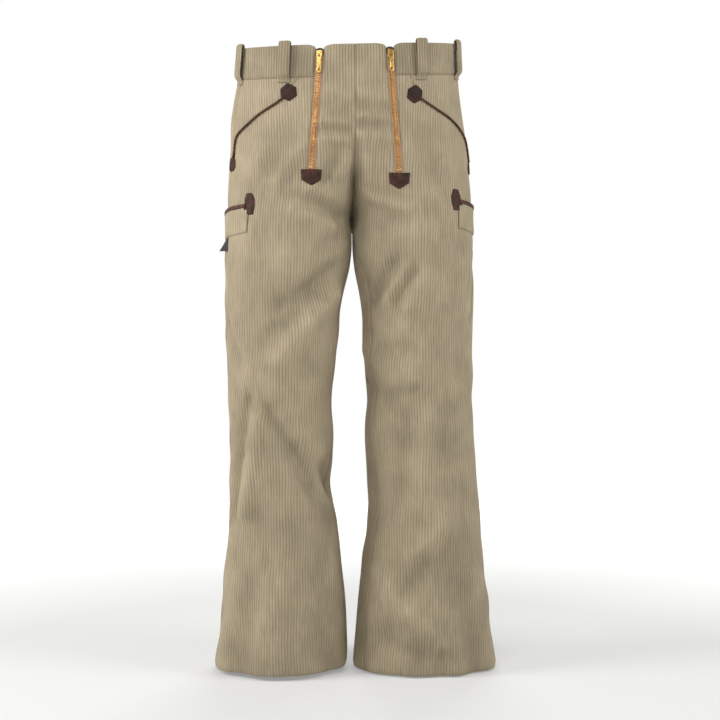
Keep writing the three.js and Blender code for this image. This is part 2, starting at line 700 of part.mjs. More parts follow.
// The slider in its own frame: X across the zip, Y up along it, Z outwards, with the pull
// tab's axis along X through the origin.
function sliderGeometry() {
  const plateTop = -bail.axisHeight;
  const plateBottom = plateTop - slider.plate;
  const backTop = plateBottom + (zip.tapeLift - zip.tapeWall - zip.chainLift) - 2 * seamGap;
  const backBottom = backTop - slider.plate;
  const front = boxSolid(slider.width, slider.length, slider.plate, 0, 0, (plateTop + plateBottom) / 2);
  const back = boxSolid(slider.width, slider.length, slider.plate, 0, 0, (backTop + backBottom) / 2);
  const postY = (slider.length - slider.post) / 2;
  const postHeight = plateTop - backBottom;
  const post = boxSolid(slider.postWidth, slider.post, postHeight, 0, postY, (plateTop + backBottom) / 2);
  const arch = new THREE.Shape();
  arch.moveTo(bail.outer, plateTop - 0.3);
  arch.lineTo(bail.outer, 0);
  arch.absarc(0, 0, bail.outer, 0, Math.PI, false);
  arch.lineTo(-bail.outer, plateTop - 0.3);
  const hole = new THREE.Path();
  hole.absarc(0, 0, bail.inner, 0, Math.PI * 2, true);
  arch.holes.push(hole);
  const archBody = new THREE.ExtrudeGeometry(arch, {
    depth: bail.halfWall * 2,
    bevelEnabled: false,
    curveSegments: 8,
  });
  archBody.translate(0, 0, -bail.halfWall);
  archBody.rotateX(Math.PI / 2);
  archBody.rotateZ(Math.PI / 2);
  return geometryOf(front.add(back).add(post).add(solidOf(archBody)));
}

// The pull tab hangs down from its crossbar, which runs through the slider's bail.
function pullGeometry() {
  const outline = new THREE.Shape();
  const neck = pull.neckWidth / 2;
  const half = pull.width / 2;
  const end = -(pull.length - half);
  outline.moveTo(neck, pull.barHalf);
  outline.lineTo(-neck, pull.barHalf);
  outline.lineTo(-neck, -9);
  outline.lineTo(-half, -13);
  outline.lineTo(-half, end);
  outline.absarc(0, end, half, Math.PI, Math.PI * 2, false);
  outline.lineTo(half, -13);
  outline.lineTo(neck, -9);
  const opening = new THREE.Path();
  opening.moveTo(-pull.windowHalf, -pull.barHalf);
  opening.lineTo(pull.windowHalf, -pull.barHalf);
  opening.lineTo(pull.windowHalf, -pull.bodyFrom);
  opening.lineTo(-pull.windowHalf, -pull.bodyFrom);
  const hole = new THREE.Path();
  hole.absarc(0, -pull.holeAt, pull.holeRadius, 0, Math.PI * 2, true);
  outline.holes.push(opening, hole);
  const body = new THREE.ExtrudeGeometry(outline, { depth: pull.wall, bevelEnabled: false, curveSegments: 8 });
  body.translate(0, 0, -pull.wall / 2);
  return geometryOf(solidOf(body));
}

// Puts a piece of the slider's frame on the zip: X across, Y up along the cloth, Z outwards.
function placeOnZip(mesh, side) {
  const angle = zipAngle(side, slider.level, 0);
  const outwards = faceNormal(side, angle, slider.level);
  const up = facePoint(side, angle, slider.level + 1).sub(facePoint(side, angle, slider.level - 1));
  up.addScaledVector(outwards, -up.dot(outwards)).normalize();
  const across = new THREE.Vector3().crossVectors(up, outwards);
  const axisLift = zip.chainLift + seamGap + slider.plate + bail.axisHeight;
  mesh.quaternion.setFromRotationMatrix(new THREE.Matrix4().makeBasis(across, up, outwards));
  mesh.position.copy(bodyPoint(side, angle, slider.level, axisLift));
}

// Leather piping along the pocket mouth, between the two patches.
function pipingGeometry(side) {
  const knots = 12;
  const points = [];
  for (let i = 0; i <= knots; i += 1) {
    const level = mix(side.pipingTop, pipingEnd, i / knots);
    points.push(bodyPoint(side, frontEdge(side, level), level, seat + pipingRadius));
  }
  const section = new THREE.Shape().absarc(0, 0, pipingRadius, 0, Math.PI * 2, false);
  const tube = new THREE.ExtrudeGeometry(section, {
    steps: 18,
    curveSegments: 4,
    bevelEnabled: false,
    extrudePath: new THREE.CatmullRomCurve3(points),
  });
  return geometryOf(solidOf(tube));
}

// The upper edge of a thigh pocket slopes down towards the back.
function pocketTop(side, angle) {
  return side.pocketLevel - thighPocket.slope * (thighPocket.frontAngle - angle);
}

// How far the pocket's mouth stands open, most at the side and at its upper edge.
function pocketGape(angle, down) {
  const across = (angle - thighPocket.backAngle) / (thighPocket.frontAngle - thighPocket.backAngle);
  return thighPocket.gape * Math.sin(Math.PI * THREE.MathUtils.clamp(across, 0, 1)) * (1 - down);
}

function thighPocketGeometry(side) {
  const { frontAngle, patchAngle, backAngle } = thighPocket;
  const angles = [frontAngle, patchAngle, 31, 20, 8, -4, -16, -28, backAngle];
  const downs = [0, 0.33, 0.67, 1];
  const place = (i, j) => {
    const angle = angles[j];
    const lift = pocketGape(angle, downs[i]) + 2 * seat;
    const level = pocketTop(side, angle) - downs[i] * thighPocket.height;
    return { angle, level, top: lift + thighPocket.wall, bottom: lift };
  };
  return clothGeometry(side, downs.length - 1, angles.length - 1, place, (i, j) => i > 0 || j > 0);
}

function bindingGeometry(side) {
  const columns = 10;
  const gap = seamGap * degreesPerMm(side, thighPocket.patchAngle, side.pocketLevel);
  return clothGeometry(side, 1, columns, (i, j) => {
    const angle = mix(thighPocket.patchAngle - gap, thighPocket.backAngle, j / columns);
    const lift = pocketGape(angle, 0) + seat;
    const level = pocketTop(side, angle) + seamGap + (i === 0 ? binding.width : 0);
    return { angle, level, top: lift + binding.wall, bottom: lift };
  });
}

// The bare tab hangs from the pocket's lower edge and stands out from the leg at the back.
function tabGeometry(side) {
  const rows = 4;
  const columns = 3;
  const level = pocketTop(side, tab.angle) - thighPocket.height - 4 * seamGap;
  const rate = degreesPerMm(side, tab.angle, level);
  return clothGeometry(side, rows, columns, (i, j) => {
    const down = i / rows;
    const out = tab.hangsOut * down * (1 - j / columns) + seat;
    const across = (j / columns - 0.5) * tab.width * rate;
    return { angle: tab.angle + across, level: level - down * tab.height, top: out + tab.wall, bottom: out };
  });
}

for (const side of Object.values(sides)) {
  const { name } = side;
  add(`front_${name}`, 'corduroy', frontPanel(side));
  add(`back_${name}`, 'corduroy', backPanel(side));
  add(`hip_${name}`, 'corduroy', hipPiece(side));
  add(`waistband_${name}`, 'corduroy', frontBand(side));
  add(`loop_front_${name}`, 'corduroy', loopGeometry(side, frontLoopAngle));
  add(`loop_side_${name}`, 'corduroy', loopGeometry(side, side.sideLoopAngle));
  add(`zip_${name}`, 'tape', zipGeometry(side));
  placeOnZip(add(`slider_${name}`, 'brass', sliderGeometry()), side);
  placeOnZip(add(`pull_${name}`, 'brass', pullGeometry()), side);
  const zipEnd = { angle: zipAngle(side, side.zipPatchLevel, 0), level: side.zipPatchLevel };
  add(`zip_patch_${name}`, 'leather', patchGeometry(side, zipPatchRows, zipEnd, 0));
  const mouthTop = { angle: side.patchAngle, level: side.patchLevel };
  add(`mouth_patch_${name}`, 'leather', patchGeometry(side, mouthPatchRows, mouthTop, side.patchTurn));
  const mouthFoot = { angle: seamAngle(side, sidePatchLevel), level: sidePatchLevel };
  add(`side_patch_${name}`, 'leather', patchGeometry(side, sidePatchRows, mouthFoot, 0));
  add(`piping_${name}`, 'leather', pipingGeometry(side));
  add(`thigh_pocket_${name}`, 'corduroy', thighPocketGeometry(side));
  add(`binding_${name}`, 'leather', bindingGeometry(side));
  const corner = { angle: thighPocket.frontAngle, level: side.pocketLevel - binding.patchDown };
  add(`binding_patch_${name}`, 'leather', patchGeometry(side, bindingPatchRows, corner, 0));
}
add('waistband_back', 'corduroy', backBand());
add('loop_back', 'corduroy', loopGeometry(sides.right, -90));
add('tab', 'tabCloth', tabGeometry(sides.right));

export default trousers;
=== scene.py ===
# Flared work trousers in wide-wale corduroy, filled out with no wearer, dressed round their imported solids.
# Tables and shape functions are in millimetres and meshes in metres.
# A place on the cloth is an angle round a leg and a level: 0 degrees is the outer side, 90 the front,
# 180 the inner side and -90 the back. Lift is the distance outwards from the cloth's face.

import math

import bmesh
import bpy
import numpy as np
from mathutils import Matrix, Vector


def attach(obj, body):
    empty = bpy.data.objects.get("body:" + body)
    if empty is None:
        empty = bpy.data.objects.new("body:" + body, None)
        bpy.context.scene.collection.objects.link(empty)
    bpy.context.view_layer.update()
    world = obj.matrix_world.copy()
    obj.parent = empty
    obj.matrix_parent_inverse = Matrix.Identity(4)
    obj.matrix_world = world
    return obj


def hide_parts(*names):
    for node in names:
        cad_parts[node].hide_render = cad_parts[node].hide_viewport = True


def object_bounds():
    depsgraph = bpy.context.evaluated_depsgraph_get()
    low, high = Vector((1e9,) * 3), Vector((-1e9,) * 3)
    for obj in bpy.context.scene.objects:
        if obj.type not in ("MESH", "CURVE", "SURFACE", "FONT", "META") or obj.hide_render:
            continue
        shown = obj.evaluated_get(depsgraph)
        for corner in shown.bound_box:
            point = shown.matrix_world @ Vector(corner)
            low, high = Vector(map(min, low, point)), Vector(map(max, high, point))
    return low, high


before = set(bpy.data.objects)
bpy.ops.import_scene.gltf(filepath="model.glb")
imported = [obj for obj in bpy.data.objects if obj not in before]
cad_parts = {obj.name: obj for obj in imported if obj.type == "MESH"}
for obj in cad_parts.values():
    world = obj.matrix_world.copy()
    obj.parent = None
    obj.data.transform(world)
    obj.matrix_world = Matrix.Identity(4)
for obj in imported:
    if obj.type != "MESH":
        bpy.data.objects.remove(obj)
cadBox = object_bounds()
print("frame loaded")

# camera at the photograph's place: level with the knees, a little to the viewer's left

view = {"distance": 2.3, "azimuth": -4.5, "height": -0.538, "lens": 66.86, "shift": 0.0135}

lens = bpy.data.cameras.new("camera")
lens.lens = view["lens"]
lens.shift_x = view["shift"]
cameraObject = bpy.data.objects.new("camera", lens)
turn = math.radians(view["azimuth"])
cameraObject.location = (view["distance"] * math.sin(turn), -view["distance"] * math.cos(turn), view["height"])
cameraObject.rotation_euler = (math.radians(90), 0, turn)
bpy.context.scene.collection.objects.link(cameraObject)
bpy.context.scene.camera = cameraObject

# what the garment is cut to

waistDip = {"front": 18, "back": 15, "side": 7.5, "fadesOutAt": -200}
crotchLevel = -296
# two hollows in the front between the thighs: full between the levels full and fades
valley = {"depth": 15, "reach": 11, "from": -150, "full": -215, "fades": -285, "gone": -330}
thighSlit = {"depth": 24, "reach": 6.5, "from": -216, "full": -246, "fades": -296, "gone": -325}
creaseGain = {"height": 1.3, "width": 1.2}  # the dressed cloth's folds are deeper and softer than its solid's
# mm from the middle seam at which creases are at full height, and the levels between which that changes
creaseFade = {"flap": 11, "thighs": 30, "from": -290, "to": -230}
mmPerDegree = 1.75  # of cloth round a leg, near enough for the creases' lines

band = {"height": 54, "wall": 3}
cloth = {"wall": 2, "seamGap": 0.3, "lap": 0.12, "seat": 0.35}  # panels lap a little at their seams

hipRows = {
    "z": [0, -50, -85, -120, -160, -200, -235, -262, -282, -296, -312],
    "right": [188, 192, 198, 203, 205, 206, 208, 208.5, 209, 210, 211],
    "left": [183, 185, 188, 193, 199, 203, 206, 207, 207.5, 208.5, 209.2],
    "merge": [1, 1, 1, 0.97, 0.84, 0.58, 0.31, 0.14, 0.032, 0, 0],
    "middle": [0, 0, 0, 0, 0.2, 0.8, 1.6, 2.3, 2.7, 2.8, 2.8],
    "front": [104, 107, 109, 110, 111, 110, 108, 106, 104, 103, 102.2],
    "back": [104, 108, 121, 133, 142, 144, 141, 135, 127, 121, 116],
}

legRows = {
    "z": [-296, -316, -349, -383, -435, -521, -607, -676, -744, -813, -882, -951, -1019, -1060],
    "rightOuter": [-210, -211.5, -214, -214.3, -214.3, -211.4, -209.4, -205.2, -206.2, -207.6, -213.8, -219, -225.8,
                   -231.5],
    "rightInner": [2.6, 2, 1.6, -2.6, -15, -23.4, -32.2, -29.8, -34.9, -22.9, -16, -9.1, -5.7, -7],
    "leftInner": [3, 3.8, 4.4, 8, 18.5, 22.4, 29.4, 26, 29, 30.6, 20.8, 14, 8.1, 4.6],
    "leftOuter": [208.5, 209.5, 211.5, 212, 212, 210.8, 210.4, 213.8, 219, 224.2, 229.4, 237.8, 245.4, 252],
    "front": [103, 102, 100, 98, 94, 88, 85, 84, 85, 88, 92, 96, 99, 100],
    "back": [121, 115, 109, 104, 98, 90, 83, 81, 84, 90, 96, 101, 104, 105],
}

mouthRows = {
    "z": [-54, -67, -90, -113, -134, -152, -162, -178, -196, -207],
    "right": [61, 58, 53.8, 44.2, 33.6, 23.5, 19.6, 17.2, 15.5, 14],
    "left": [60, 58.5, 56.5, 45.5, 31.8, 21, 15.5, 11.6, 9.8, 9],
}

seamRows = {"z": [-207, -420], "right": [14, 7], "left": [9, 5]}

# creases: two ends as angle and level, half width, height above the cloth (below zero for a trough)
creaseColumns = ("angle", "level", "toAngle", "toLevel", "width", "height")
creases = {
    "right": [
        (132, -386, 112, -421, 14, -8), (112, -421, 86, -448, 14, -7), (98, -346, 92, -384, 22, 4),
        (148, -428, 116, -474, 14, 7), (116, -474, 87, -532, 15, 7), (100, -462, 72, -512, 15, -4),
        (17, -478, 42, -538, 12, -5), (34, -488, 54, -560, 12, 3.5), (52, -606, 34, -696, 13, -7),
        (34, -696, 17, -800, 13, -8), (62, -640, 44, -790, 13, 5.5), (76, -622, 101, -686, 12, -6),
        (101, -686, 126, -756, 12, -7), (112, -660, 142, -708, 15, 6), (143, -716, 163, -756, 13, -8),
        (92, -700, 116, -790, 16, 4), (150, -810, 128, -900, 18, -4), (86, -850, 84, -1060, 22, 4),
        (56, -900, 52, -1060, 16, -4), (30, -900, 28, -1060, 16, 3), (-36, -368, -76, -392, 17, -6),
        (-76, -392, -130, -366, 17, -7), (-60, -422, -120, -410, 17, 5), (-28, -640, -90, -668, 14, -8),
        (-90, -668, -150, -640, 14, -7), (-50, -606, -120, -616, 16, 6), (-60, -706, -125, -722, 15, 5),
        (-80, -745, -140, -775, 15, -5), (-55, -850, -62, -1060, 19, -4), (-105, -840, -112, -1060, 20, 4),
    ],
    "left": [
        (114, -380, 146, -432, 12, -7), (95, -392, 116, -442, 11, -6), (104, -386, 132, -440, 10, 4),
        (84, -386, 104, -442, 13, 4.5), (91, -520, 104, -582, 15, 6), (132, -515, 100, -523, 12, -5),
        (134, -600, 102, -591, 11, -6), (168, -520, 150, -545, 14, 4), (178, -575, 150, -590, 13, -4),
        (46, -350, 56, -425, 12, -4), (30, -356, 36, -450, 12, 4), (18, -360, 24, -470, 10, -4),
        (54, -736, 49, -880, 11, -3.5), (159, -738, 157, -790, 15, -5), (84, -620, 100, -770, 17, 4),
        (106, -640, 122, -780, 15, -4), (76, -816, 101, -854, 13, 5), (94, -878, 112, -928, 14, -6),
        (142, -892, 108, -956, 14, 6), (108, -956, 82, -1008, 14, 6), (130, -1002, 98, -1030, 14, -6),
        (56, -900, 54, -1060, 15, -4), (-34, -362, -75, -384, 17, -6), (-75, -384, -135, -364, 16, -7),
        (-55, -414, -115, -418, 17, 5), (-30, -652, -95, -672, 14, -7), (-95, -672, -150, -654, 14, -7),
        (-60, -618, -125, -622, 16, 5), (-55, -715, -120, -726, 15, 5), (-75, -760, -135, -748, 15, -4),
        (-60, -860, -66, -1060, 19, 4), (-108, -850, -116, -1060, 20, -4),
    ],
}

# finer creases that only the dressed cloth has: round the flap, the crotch, the knees, the hems and the seat
puckers = {
    "right": [
        (80, -76, 90, -95, 8, 3.2), (77, -104, 88, -119, 8, -3.6), (77, -138, 92, -142, 7, 3.6),
        (79, -157, 93, -161, 7, -4), (81, -175, 96, -180, 7, 3.4), (72, -190, 68, -238, 10, 3.4),
        (78, -206, 76, -256, 10, -2.6), (50, -136, 44, -198, 15, 3.4), (60, -140, 56, -226, 13, -3),
        (36, -150, 30, -230, 15, -2.4), (77, -267, 99, -273, 9, -4), (99, -277, 138, -299, 9, -5.5),
        (96, -257, 138, -281, 8, 3.2), (92, -290, 130, -318, 10, 4.4), (60, -262, 66, -296, 12, -2.4),
        (140, -330, 118, -352, 10, -3), (150, -350, 126, -378, 11, 3), (60, -330, 74, -392, 14, -2.6),
        (50, -616, 82, -624, 12, -3.5), (70, -560, 84, -596, 13, 2.4), (30, -560, 38, -596, 10, -2.4),
        (64, -800, 78, -880, 15, -2.6), (140, -850, 150, -930, 13, 2.4), (36, -988, 56, -1052, 13, -3),
        (92, -186, 101, -238, 8, -6), (104, -196, 108, -236, 9, 2.6),
        (118, -976, 138, -1050, 13, -3.6), (106, -940, 104, -1060, 12, 2.4), (72, -960, 70, -1060, 11, 2.4),
        (-30, -120, -70, -150, 16, -3), (-70, -230, -110, -262, 15, -3.2), (-100, -290, -140, -300, 12, -3),
        (-40, -300, -84, -316, 13, 3), (-56, -340, -110, -342, 13, 3), (-60, -452, -104, -446, 13, -3),
        (-40, -575, -96, -584, 12, -3), (-60, -690, -110, -694, 11, -3), (-80, -900, -84, -1060, 14, 3),
        (-132, -900, -136, -1060, 14, -3), (-30, -930, -34, -1060, 13, 2.6),
    ],
    "left": [
        (90, -80, 78, -92, 8, 2.6), (91, -108, 77, -114, 8, -3.2), (92, -145, 78, -151, 7, -3.4),
        (92, -127, 80, -131, 7, 2.8), (92, -165, 80, -171, 7, 3.2), (96, -200, 80, -190, 9, -2.6),
        (118, -258, 99, -269, 8, -3.4), (124, -271, 103, -287, 8, 4), (128, -292, 100, -306, 10, -3),
        (70, -200, 74, -262, 12, 2.6), (56, -150, 62, -240, 14, -2.8), (42, -150, 48, -214, 14, 2.8),
        (152, -345, 128, -380, 10, 2.4), (66, -330, 82, -372, 13, -3), (40, -480, 50, -560, 13, -2.6),
        (70, -600, 80, -700, 14, -3), (60, -740, 70, -800, 13, 2.6), (86, -1004, 84, -1060, 12, -3),
        (110, -1012, 106, -1060, 10, 3), (70, -960, 69, -1060, 12, 3.4), (36, -900, 32, -1060, 16, 2.6),
        (146, -960, 142, -1060, 12, 2.6), (-34, -124, -72, -146, 16, -3), (-66, -234, -112, -258, 15, -3.2),
        (-104, -292, -140, -306, 12, -3), (-44, -304, -86, -312, 13, 3), (-58, -344, -112, -340, 13, 3),
        (-64, -450, -108, -452, 13, -3), (-44, -580, -98, -588, 12, -3), (-62, -694, -114, -690, 11, -3),
        (-82, -900, -86, -1060, 14, -3), (-134, -910, -138, -1060, 14, 3), (-34, -920, -36, -1060, 13, -2.6),
    ],
}

# slow unevenness of the whole cloth: waves across the space, with their directions in radians a millimetre
waves = {
    "x": [0.071, -0.052, 0.023, 0.094, -0.038, 0.061],
    "y": [0.043, 0.066, -0.051, 0.02, 0.088, -0.07],
    "z": [0.031, 0.047, 0.082, -0.056, 0.025, 0.104],
    "phase": [0.4, 2.1, 4.4, 1.3, 5.2, 3.0],
    "height": [0.45, 0.4, 0.5, 0.3, 0.35, 0.25],
}

sides = {
    "right": {"name": "right", "sign": -1, "hem": -1056.5, "pocket": -286, "zipPatch": -226, "patchAngle": 56.4,
              "patchLevel": -80, "patchTurn": -5, "pipingTop": -95, "loopAngle": 13, "inseam": 16},
    "left": {"name": "left", "sign": 1, "hem": -1061.5, "pocket": -276, "zipPatch": -230, "patchAngle": 57.9,
             "patchLevel": -88, "patchTurn": -7, "pipingTop": -101.5, "loopAngle": 15, "inseam": 27},
}


# shape functions


# Cubic curve through values at increasing places: Hermite with slopes from the neighbours.
def curve(at, values, x):
    at, values = np.asarray(at, float), np.asarray(values, float)
    slope = np.gradient(values, at) if len(at) > 2 else np.full(2, (values[1] - values[0]) / (at[1] - at[0]))
    slope[1:-1] = (values[2:] - values[:-2]) / (at[2:] - at[:-2])
    x = np.clip(x, at[0], at[-1])
    i = np.clip(np.searchsorted(at, x, side="right") - 1, 0, len(at) - 2)
    span = at[i + 1] - at[i]
    t = (x - at[i]) / span
    rise = t * t * (3 - 2 * t)
    lead = t * (1 - t) ** 2 * span * slope[i]
    trail = t * t * (t - 1) * span * slope[i + 1]
    return values[i] + (values[i + 1] - values[i]) * rise + lead + trail


def along(rows, column, level):
    return curve(rows["z"][::-1], rows[column][::-1], level)


def smooth(value, low, high):
    t = np.clip((value - low) / (high - low), 0, 1)
    return t * t * (3 - 2 * t)


# Two half ovals a side: above the crotch they overlap by the merge column, below it they are legs.
def ovalAt(side, level):
    level = np.asarray(level, float)
    above = level > crotchLevel
    middle = along(hipRows, "middle", level)
    merge = np.clip(along(hipRows, "merge", level), 0, 1)
    reach = along(hipRows, side["name"], level) - side["sign"] * middle
    lobe = (1 - merge) / (1 + merge)
    hipHalf = reach / (1 + lobe)
    outer = along(legRows, side["name"] + "Outer", level)
    inner = along(legRows, side["name"] + "Inner", level)
    return {
        "centre": np.where(above, middle + side["sign"] * lobe * hipHalf, (outer + inner) / 2),
        "half": np.where(above, hipHalf, np.abs(outer - inner) / 2),
        "front": np.where(above, along(hipRows, "front", level), along(legRows, "front", level)),
        "back": np.where(above, along(hipRows, "back", level), along(legRows, "back", level)),
        "end": np.where(above, np.degrees(np.arccos(-lobe)), 180.0),
        "middle": middle,
    }


# Soft bells, height * exp(-(distance to the crease's line / width)^2). Ridges, and troughs too, join by
# the cube root of the sum of their cubes, so that a fold of two lines is no deeper where they meet.
def creaseHeight(side, angle, level):
    ridges, troughs = (np.zeros(np.broadcast(angle, level).shape) for _ in range(2))
    for row in creases[side["name"]] + puckers[side["name"]]:
        crease = dict(zip(creaseColumns, row))
        lineX = (crease["toAngle"] - crease["angle"]) * mmPerDegree
        lineY = crease["toLevel"] - crease["level"]
        placeX = (angle - crease["angle"]) * mmPerDegree
        placeY = level - crease["level"]
        t = np.clip((placeX * lineX + placeY * lineY) / (lineX ** 2 + lineY ** 2), 0, 1)
        off = np.hypot(placeX - t * lineX, placeY - t * lineY)
        joined = ridges if crease["height"] > 0 else troughs
        joined += np.abs(crease["height"] * np.exp(-((off / crease["width"] / creaseGain["width"]) ** 2))) ** 3
    return np.cbrt(ridges) - np.cbrt(troughs)


# Waves added up: height * sin(x * kx + y * ky + z * kz + phase), fading out towards the waist.
def unevenness(x, y, z):
    total = np.zeros(x.shape)
    for kx, ky, kz, phase, height in zip(*waves.values()):
        total += height * np.sin(kx * x + ky * y + kz * z + phase)
    return total * (1 - smooth(z, -260, -60))


# The dip of the waist: down in front and up behind, in proportion to the depth.
def dipAt(across, deep, level):
    fade = smooth(level, waistDip["fadesOutAt"], -band["height"])
    slope = (waistDip["front"] + waistDip["back"]) / 2
    bow = (waistDip["front"] - waistDip["back"]) / 2
    return fade * (slope * deep - bow * np.abs(deep) + waistDip["side"] * across)


# The face: centre + half * cos, -depth * sin, moved out of the oval by the creases.
def facePoint(side, angle, level):
    angle, level = np.broadcast_arrays(np.asarray(angle, float), np.asarray(level, float))
    oval = ovalAt(side, level)
    cos, sin = np.cos(np.radians(angle)), np.sin(np.radians(angle))
    depth = np.where(sin > 0, oval["front"], oval["back"])
    outX, outY = side["sign"] * cos / oval["half"], -sin / depth
    length = np.hypot(outX, outY)
    x = oval["centre"] + side["sign"] * oval["half"] * cos
    y = -depth * sin
    wrapped = np.where(angle < -180, angle + 360, angle)
    height = creaseGain["height"] * creaseHeight(side, wrapped, level) + unevenness(x, y, level)
    onFlap = smooth(level, creaseFade["from"], creaseFade["to"])
    fadeWidth = creaseFade["thighs"] + (creaseFade["flap"] - creaseFade["thighs"]) * onFlap
    height = height * smooth(np.abs(x - oval["middle"]) / fadeWidth, 0, 1)
    z = level + dipAt(x / oval["half"], y / depth, level)
    for dent in (valley, thighSlit):  # the cloth sinks in between the thighs
        share = smooth(-level, -dent["from"], -dent["full"]) * (1 - smooth(-level, -dent["fades"], -dent["gone"]))
        y = y + share * dent["depth"] * np.exp(-(((x - oval["middle"]) / dent["reach"]) ** 2)) * (sin > 0)
    return np.stack([x + outX / length * height, y + outY / length * height, z], -1)


def unit(vectors):
    return vectors / np.linalg.norm(vectors, axis=-1, keepdims=True)


# Outward direction: the cross product of the steps round and down the face.
def faceNormal(side, angle, level):
    step = 0.5
    around = facePoint(side, angle + step, level) - facePoint(side, angle - step, level)
    down = facePoint(side, angle, level - step) - facePoint(side, angle, level + step)
    return unit(np.cross(around, down) * side["sign"])


def bodyPoint(side, angle, level, lift):
    return facePoint(side, angle, level) + faceNormal(side, angle, level) * np.asarray(lift)[..., None]


def degreesPerMm(side, angle, level):
    gap = facePoint(side, angle + 1, level) - facePoint(side, angle - 1, level)
    return 2 / np.linalg.norm(gap, axis=-1)


def angleAtX(side, distance, level):
    oval = ovalAt(side, level)
    fromCentre = (side["sign"] * distance - oval["centre"]) / (side["sign"] * oval["half"])
    return np.degrees(np.arccos(np.clip(fromCentre, -1, 1)))


def seamAngle(side, level):
    return along(seamRows, side["name"], level)


def frontEdge(side, level):
    return np.where(level > mouthRows["z"][-1], along(mouthRows, side["name"], level), seamAngle(side, level))


def innerEdge(side, level):
    shift = side["inseam"] * (1 - smooth(level, -400, crotchLevel))
    return ovalAt(side, level)["end"] - shift


# meshes


# A mesh in metres from points in millimetres and triangles, with its attributes.
def meshPiece(name, points, triangles, attributes=(), sharp=None):
    mesh = bpy.data.meshes.new(name)
    mesh.vertices.add(len(points))
    mesh.vertices.foreach_set("co", (points / 1000).astype(np.float32).ravel())
    mesh.loops.add(triangles.size)
    mesh.loops.foreach_set("vertex_index", triangles.astype(np.int32).ravel())
    mesh.polygons.add(len(triangles))
    mesh.polygons.foreach_set("loop_start", np.arange(0, triangles.size, 3, dtype=np.int32))
    mesh.update(calc_edges=True)
    mesh.shade_smooth()
    if sharp is not None:
        ends = np.empty(len(mesh.edges) * 2, np.int32)
        mesh.edges.foreach_get("vertices", ends)
        ends = np.sort(ends.reshape(-1, 2), axis=1).astype(np.int64)
        flags = np.isin(ends[:, 0] * len(points) + ends[:, 1], sharp[:, 0] * len(points) + sharp[:, 1])
        mesh.attributes.new("sharp_edge", "BOOLEAN", "EDGE").data.foreach_set("value", flags)
    for key, values in attributes:
        values = np.asarray(values, np.float32)
        kind, field = ("FLOAT", "value") if values.ndim == 1 else ("FLOAT_VECTOR", "vector")
        mesh.attributes.new(key, kind, "POINT").data.foreach_set(field, values.ravel())
    made = bpy.data.objects.new(name, mesh)
    bpy.context.scene.collection.objects.link(made)
    return made


def gridNumbers(rows, columns):
    return np.arange(rows * columns).reshape(rows, columns)


# Two triangles for each cell of a grid of point numbers.
def gridTriangles(numbers, skip=None):
    a, b, c, d = numbers[:-1, :-1], numbers[1:, :-1], numbers[1:, 1:], numbers[:-1, 1:]
    keep = np.ones(a.shape, bool) if skip is None else ~skip
    return np.concatenate([np.stack([a, b, c], -1)[keep], np.stack([a, c, d], -1)[keep]])


# Joins an outer and an inner grid of points into a closed wall. numbers says which grid point stands
# at each place, so that points on a clamped edge are one point; skip marks cells that are left open.
def wallPiece(name, outer, inner, attributes=(), numbers=None, skip=None, sharpRim=True):
    triangles = gridTriangles(gridNumbers(*outer.shape[:2]) if numbers is None else numbers, skip)
    real = (triangles != np.roll(triangles, 1, axis=1)).all(1)
    used, triangles = np.unique(triangles[real], return_inverse=True)
    triangles = triangles.reshape(-1, 3)
    outside, inside = outer.reshape(-1, 3)[used], inner.reshape(-1, 3)[used]
    corners = outside[triangles]
    facing = np.cross(corners[:, 1] - corners[:, 0], corners[:, 2] - corners[:, 0])
    if (facing * (outside - inside)[triangles[:, 0]]).sum() < 0:
        triangles = triangles[:, ::-1]
    count = len(used)
    edges = np.concatenate([triangles[:, [0, 1]], triangles[:, [1, 2]], triangles[:, [2, 0]]]).astype(np.int64)
    rim = edges[~np.isin(edges[:, 0] * count + edges[:, 1], edges[:, 1] * count + edges[:, 0])]
    rimFaces = np.concatenate([np.stack([rim[:, 1], rim[:, 0], rim[:, 0] + count], -1),
                               np.stack([rim[:, 1], rim[:, 0] + count, rim[:, 1] + count], -1)])
    sharp = np.sort(rim, axis=1)
    sharp = np.concatenate([sharp, sharp + count]) if sharpRim else None
    both = [(key, np.concatenate([grid.reshape(-1, *grid.shape[2:])[used] for grid in grids]))
            for key, *grids in attributes]
    return meshPiece(name, np.concatenate([outside, inside]),
                     np.concatenate([triangles, triangles[:, ::-1] + count, rimFaces]), both, sharp)


# Where a woven pattern lies on a piece, in metres: across, along and nothing.
def patternPlace(across, level):
    across, level = np.broadcast_arrays(across, level)
    return np.stack([across, level, np.zeros(across.shape)], -1) / 1000


# Points on the cloth along a line, with the directions along it and outwards.
def clothPath(side, angles, levels, lift):
    centres = bodyPoint(side, angles, levels, np.broadcast_to(lift, levels.shape))
    run = unit(np.gradient(centres, axis=0))
    out = faceNormal(side, angles, levels)
    return centres, run, unit(out - run * (out * run).sum(-1, keepdims=True))


# Closed oval, squarer as the powers fall: cos^power * width / 2, sin^power * height / 2.
def softOval(count, width, height, powers=(1, 1)):
    turns = np.linspace(0, 2 * np.pi, count, endpoint=False)
    cos, sin = np.cos(turns), np.sin(turns)
    return np.stack([np.sign(cos) * np.abs(cos) ** powers[0] * width / 2,
                     np.sign(sin) * np.abs(sin) ** powers[1] * height / 2], -1)


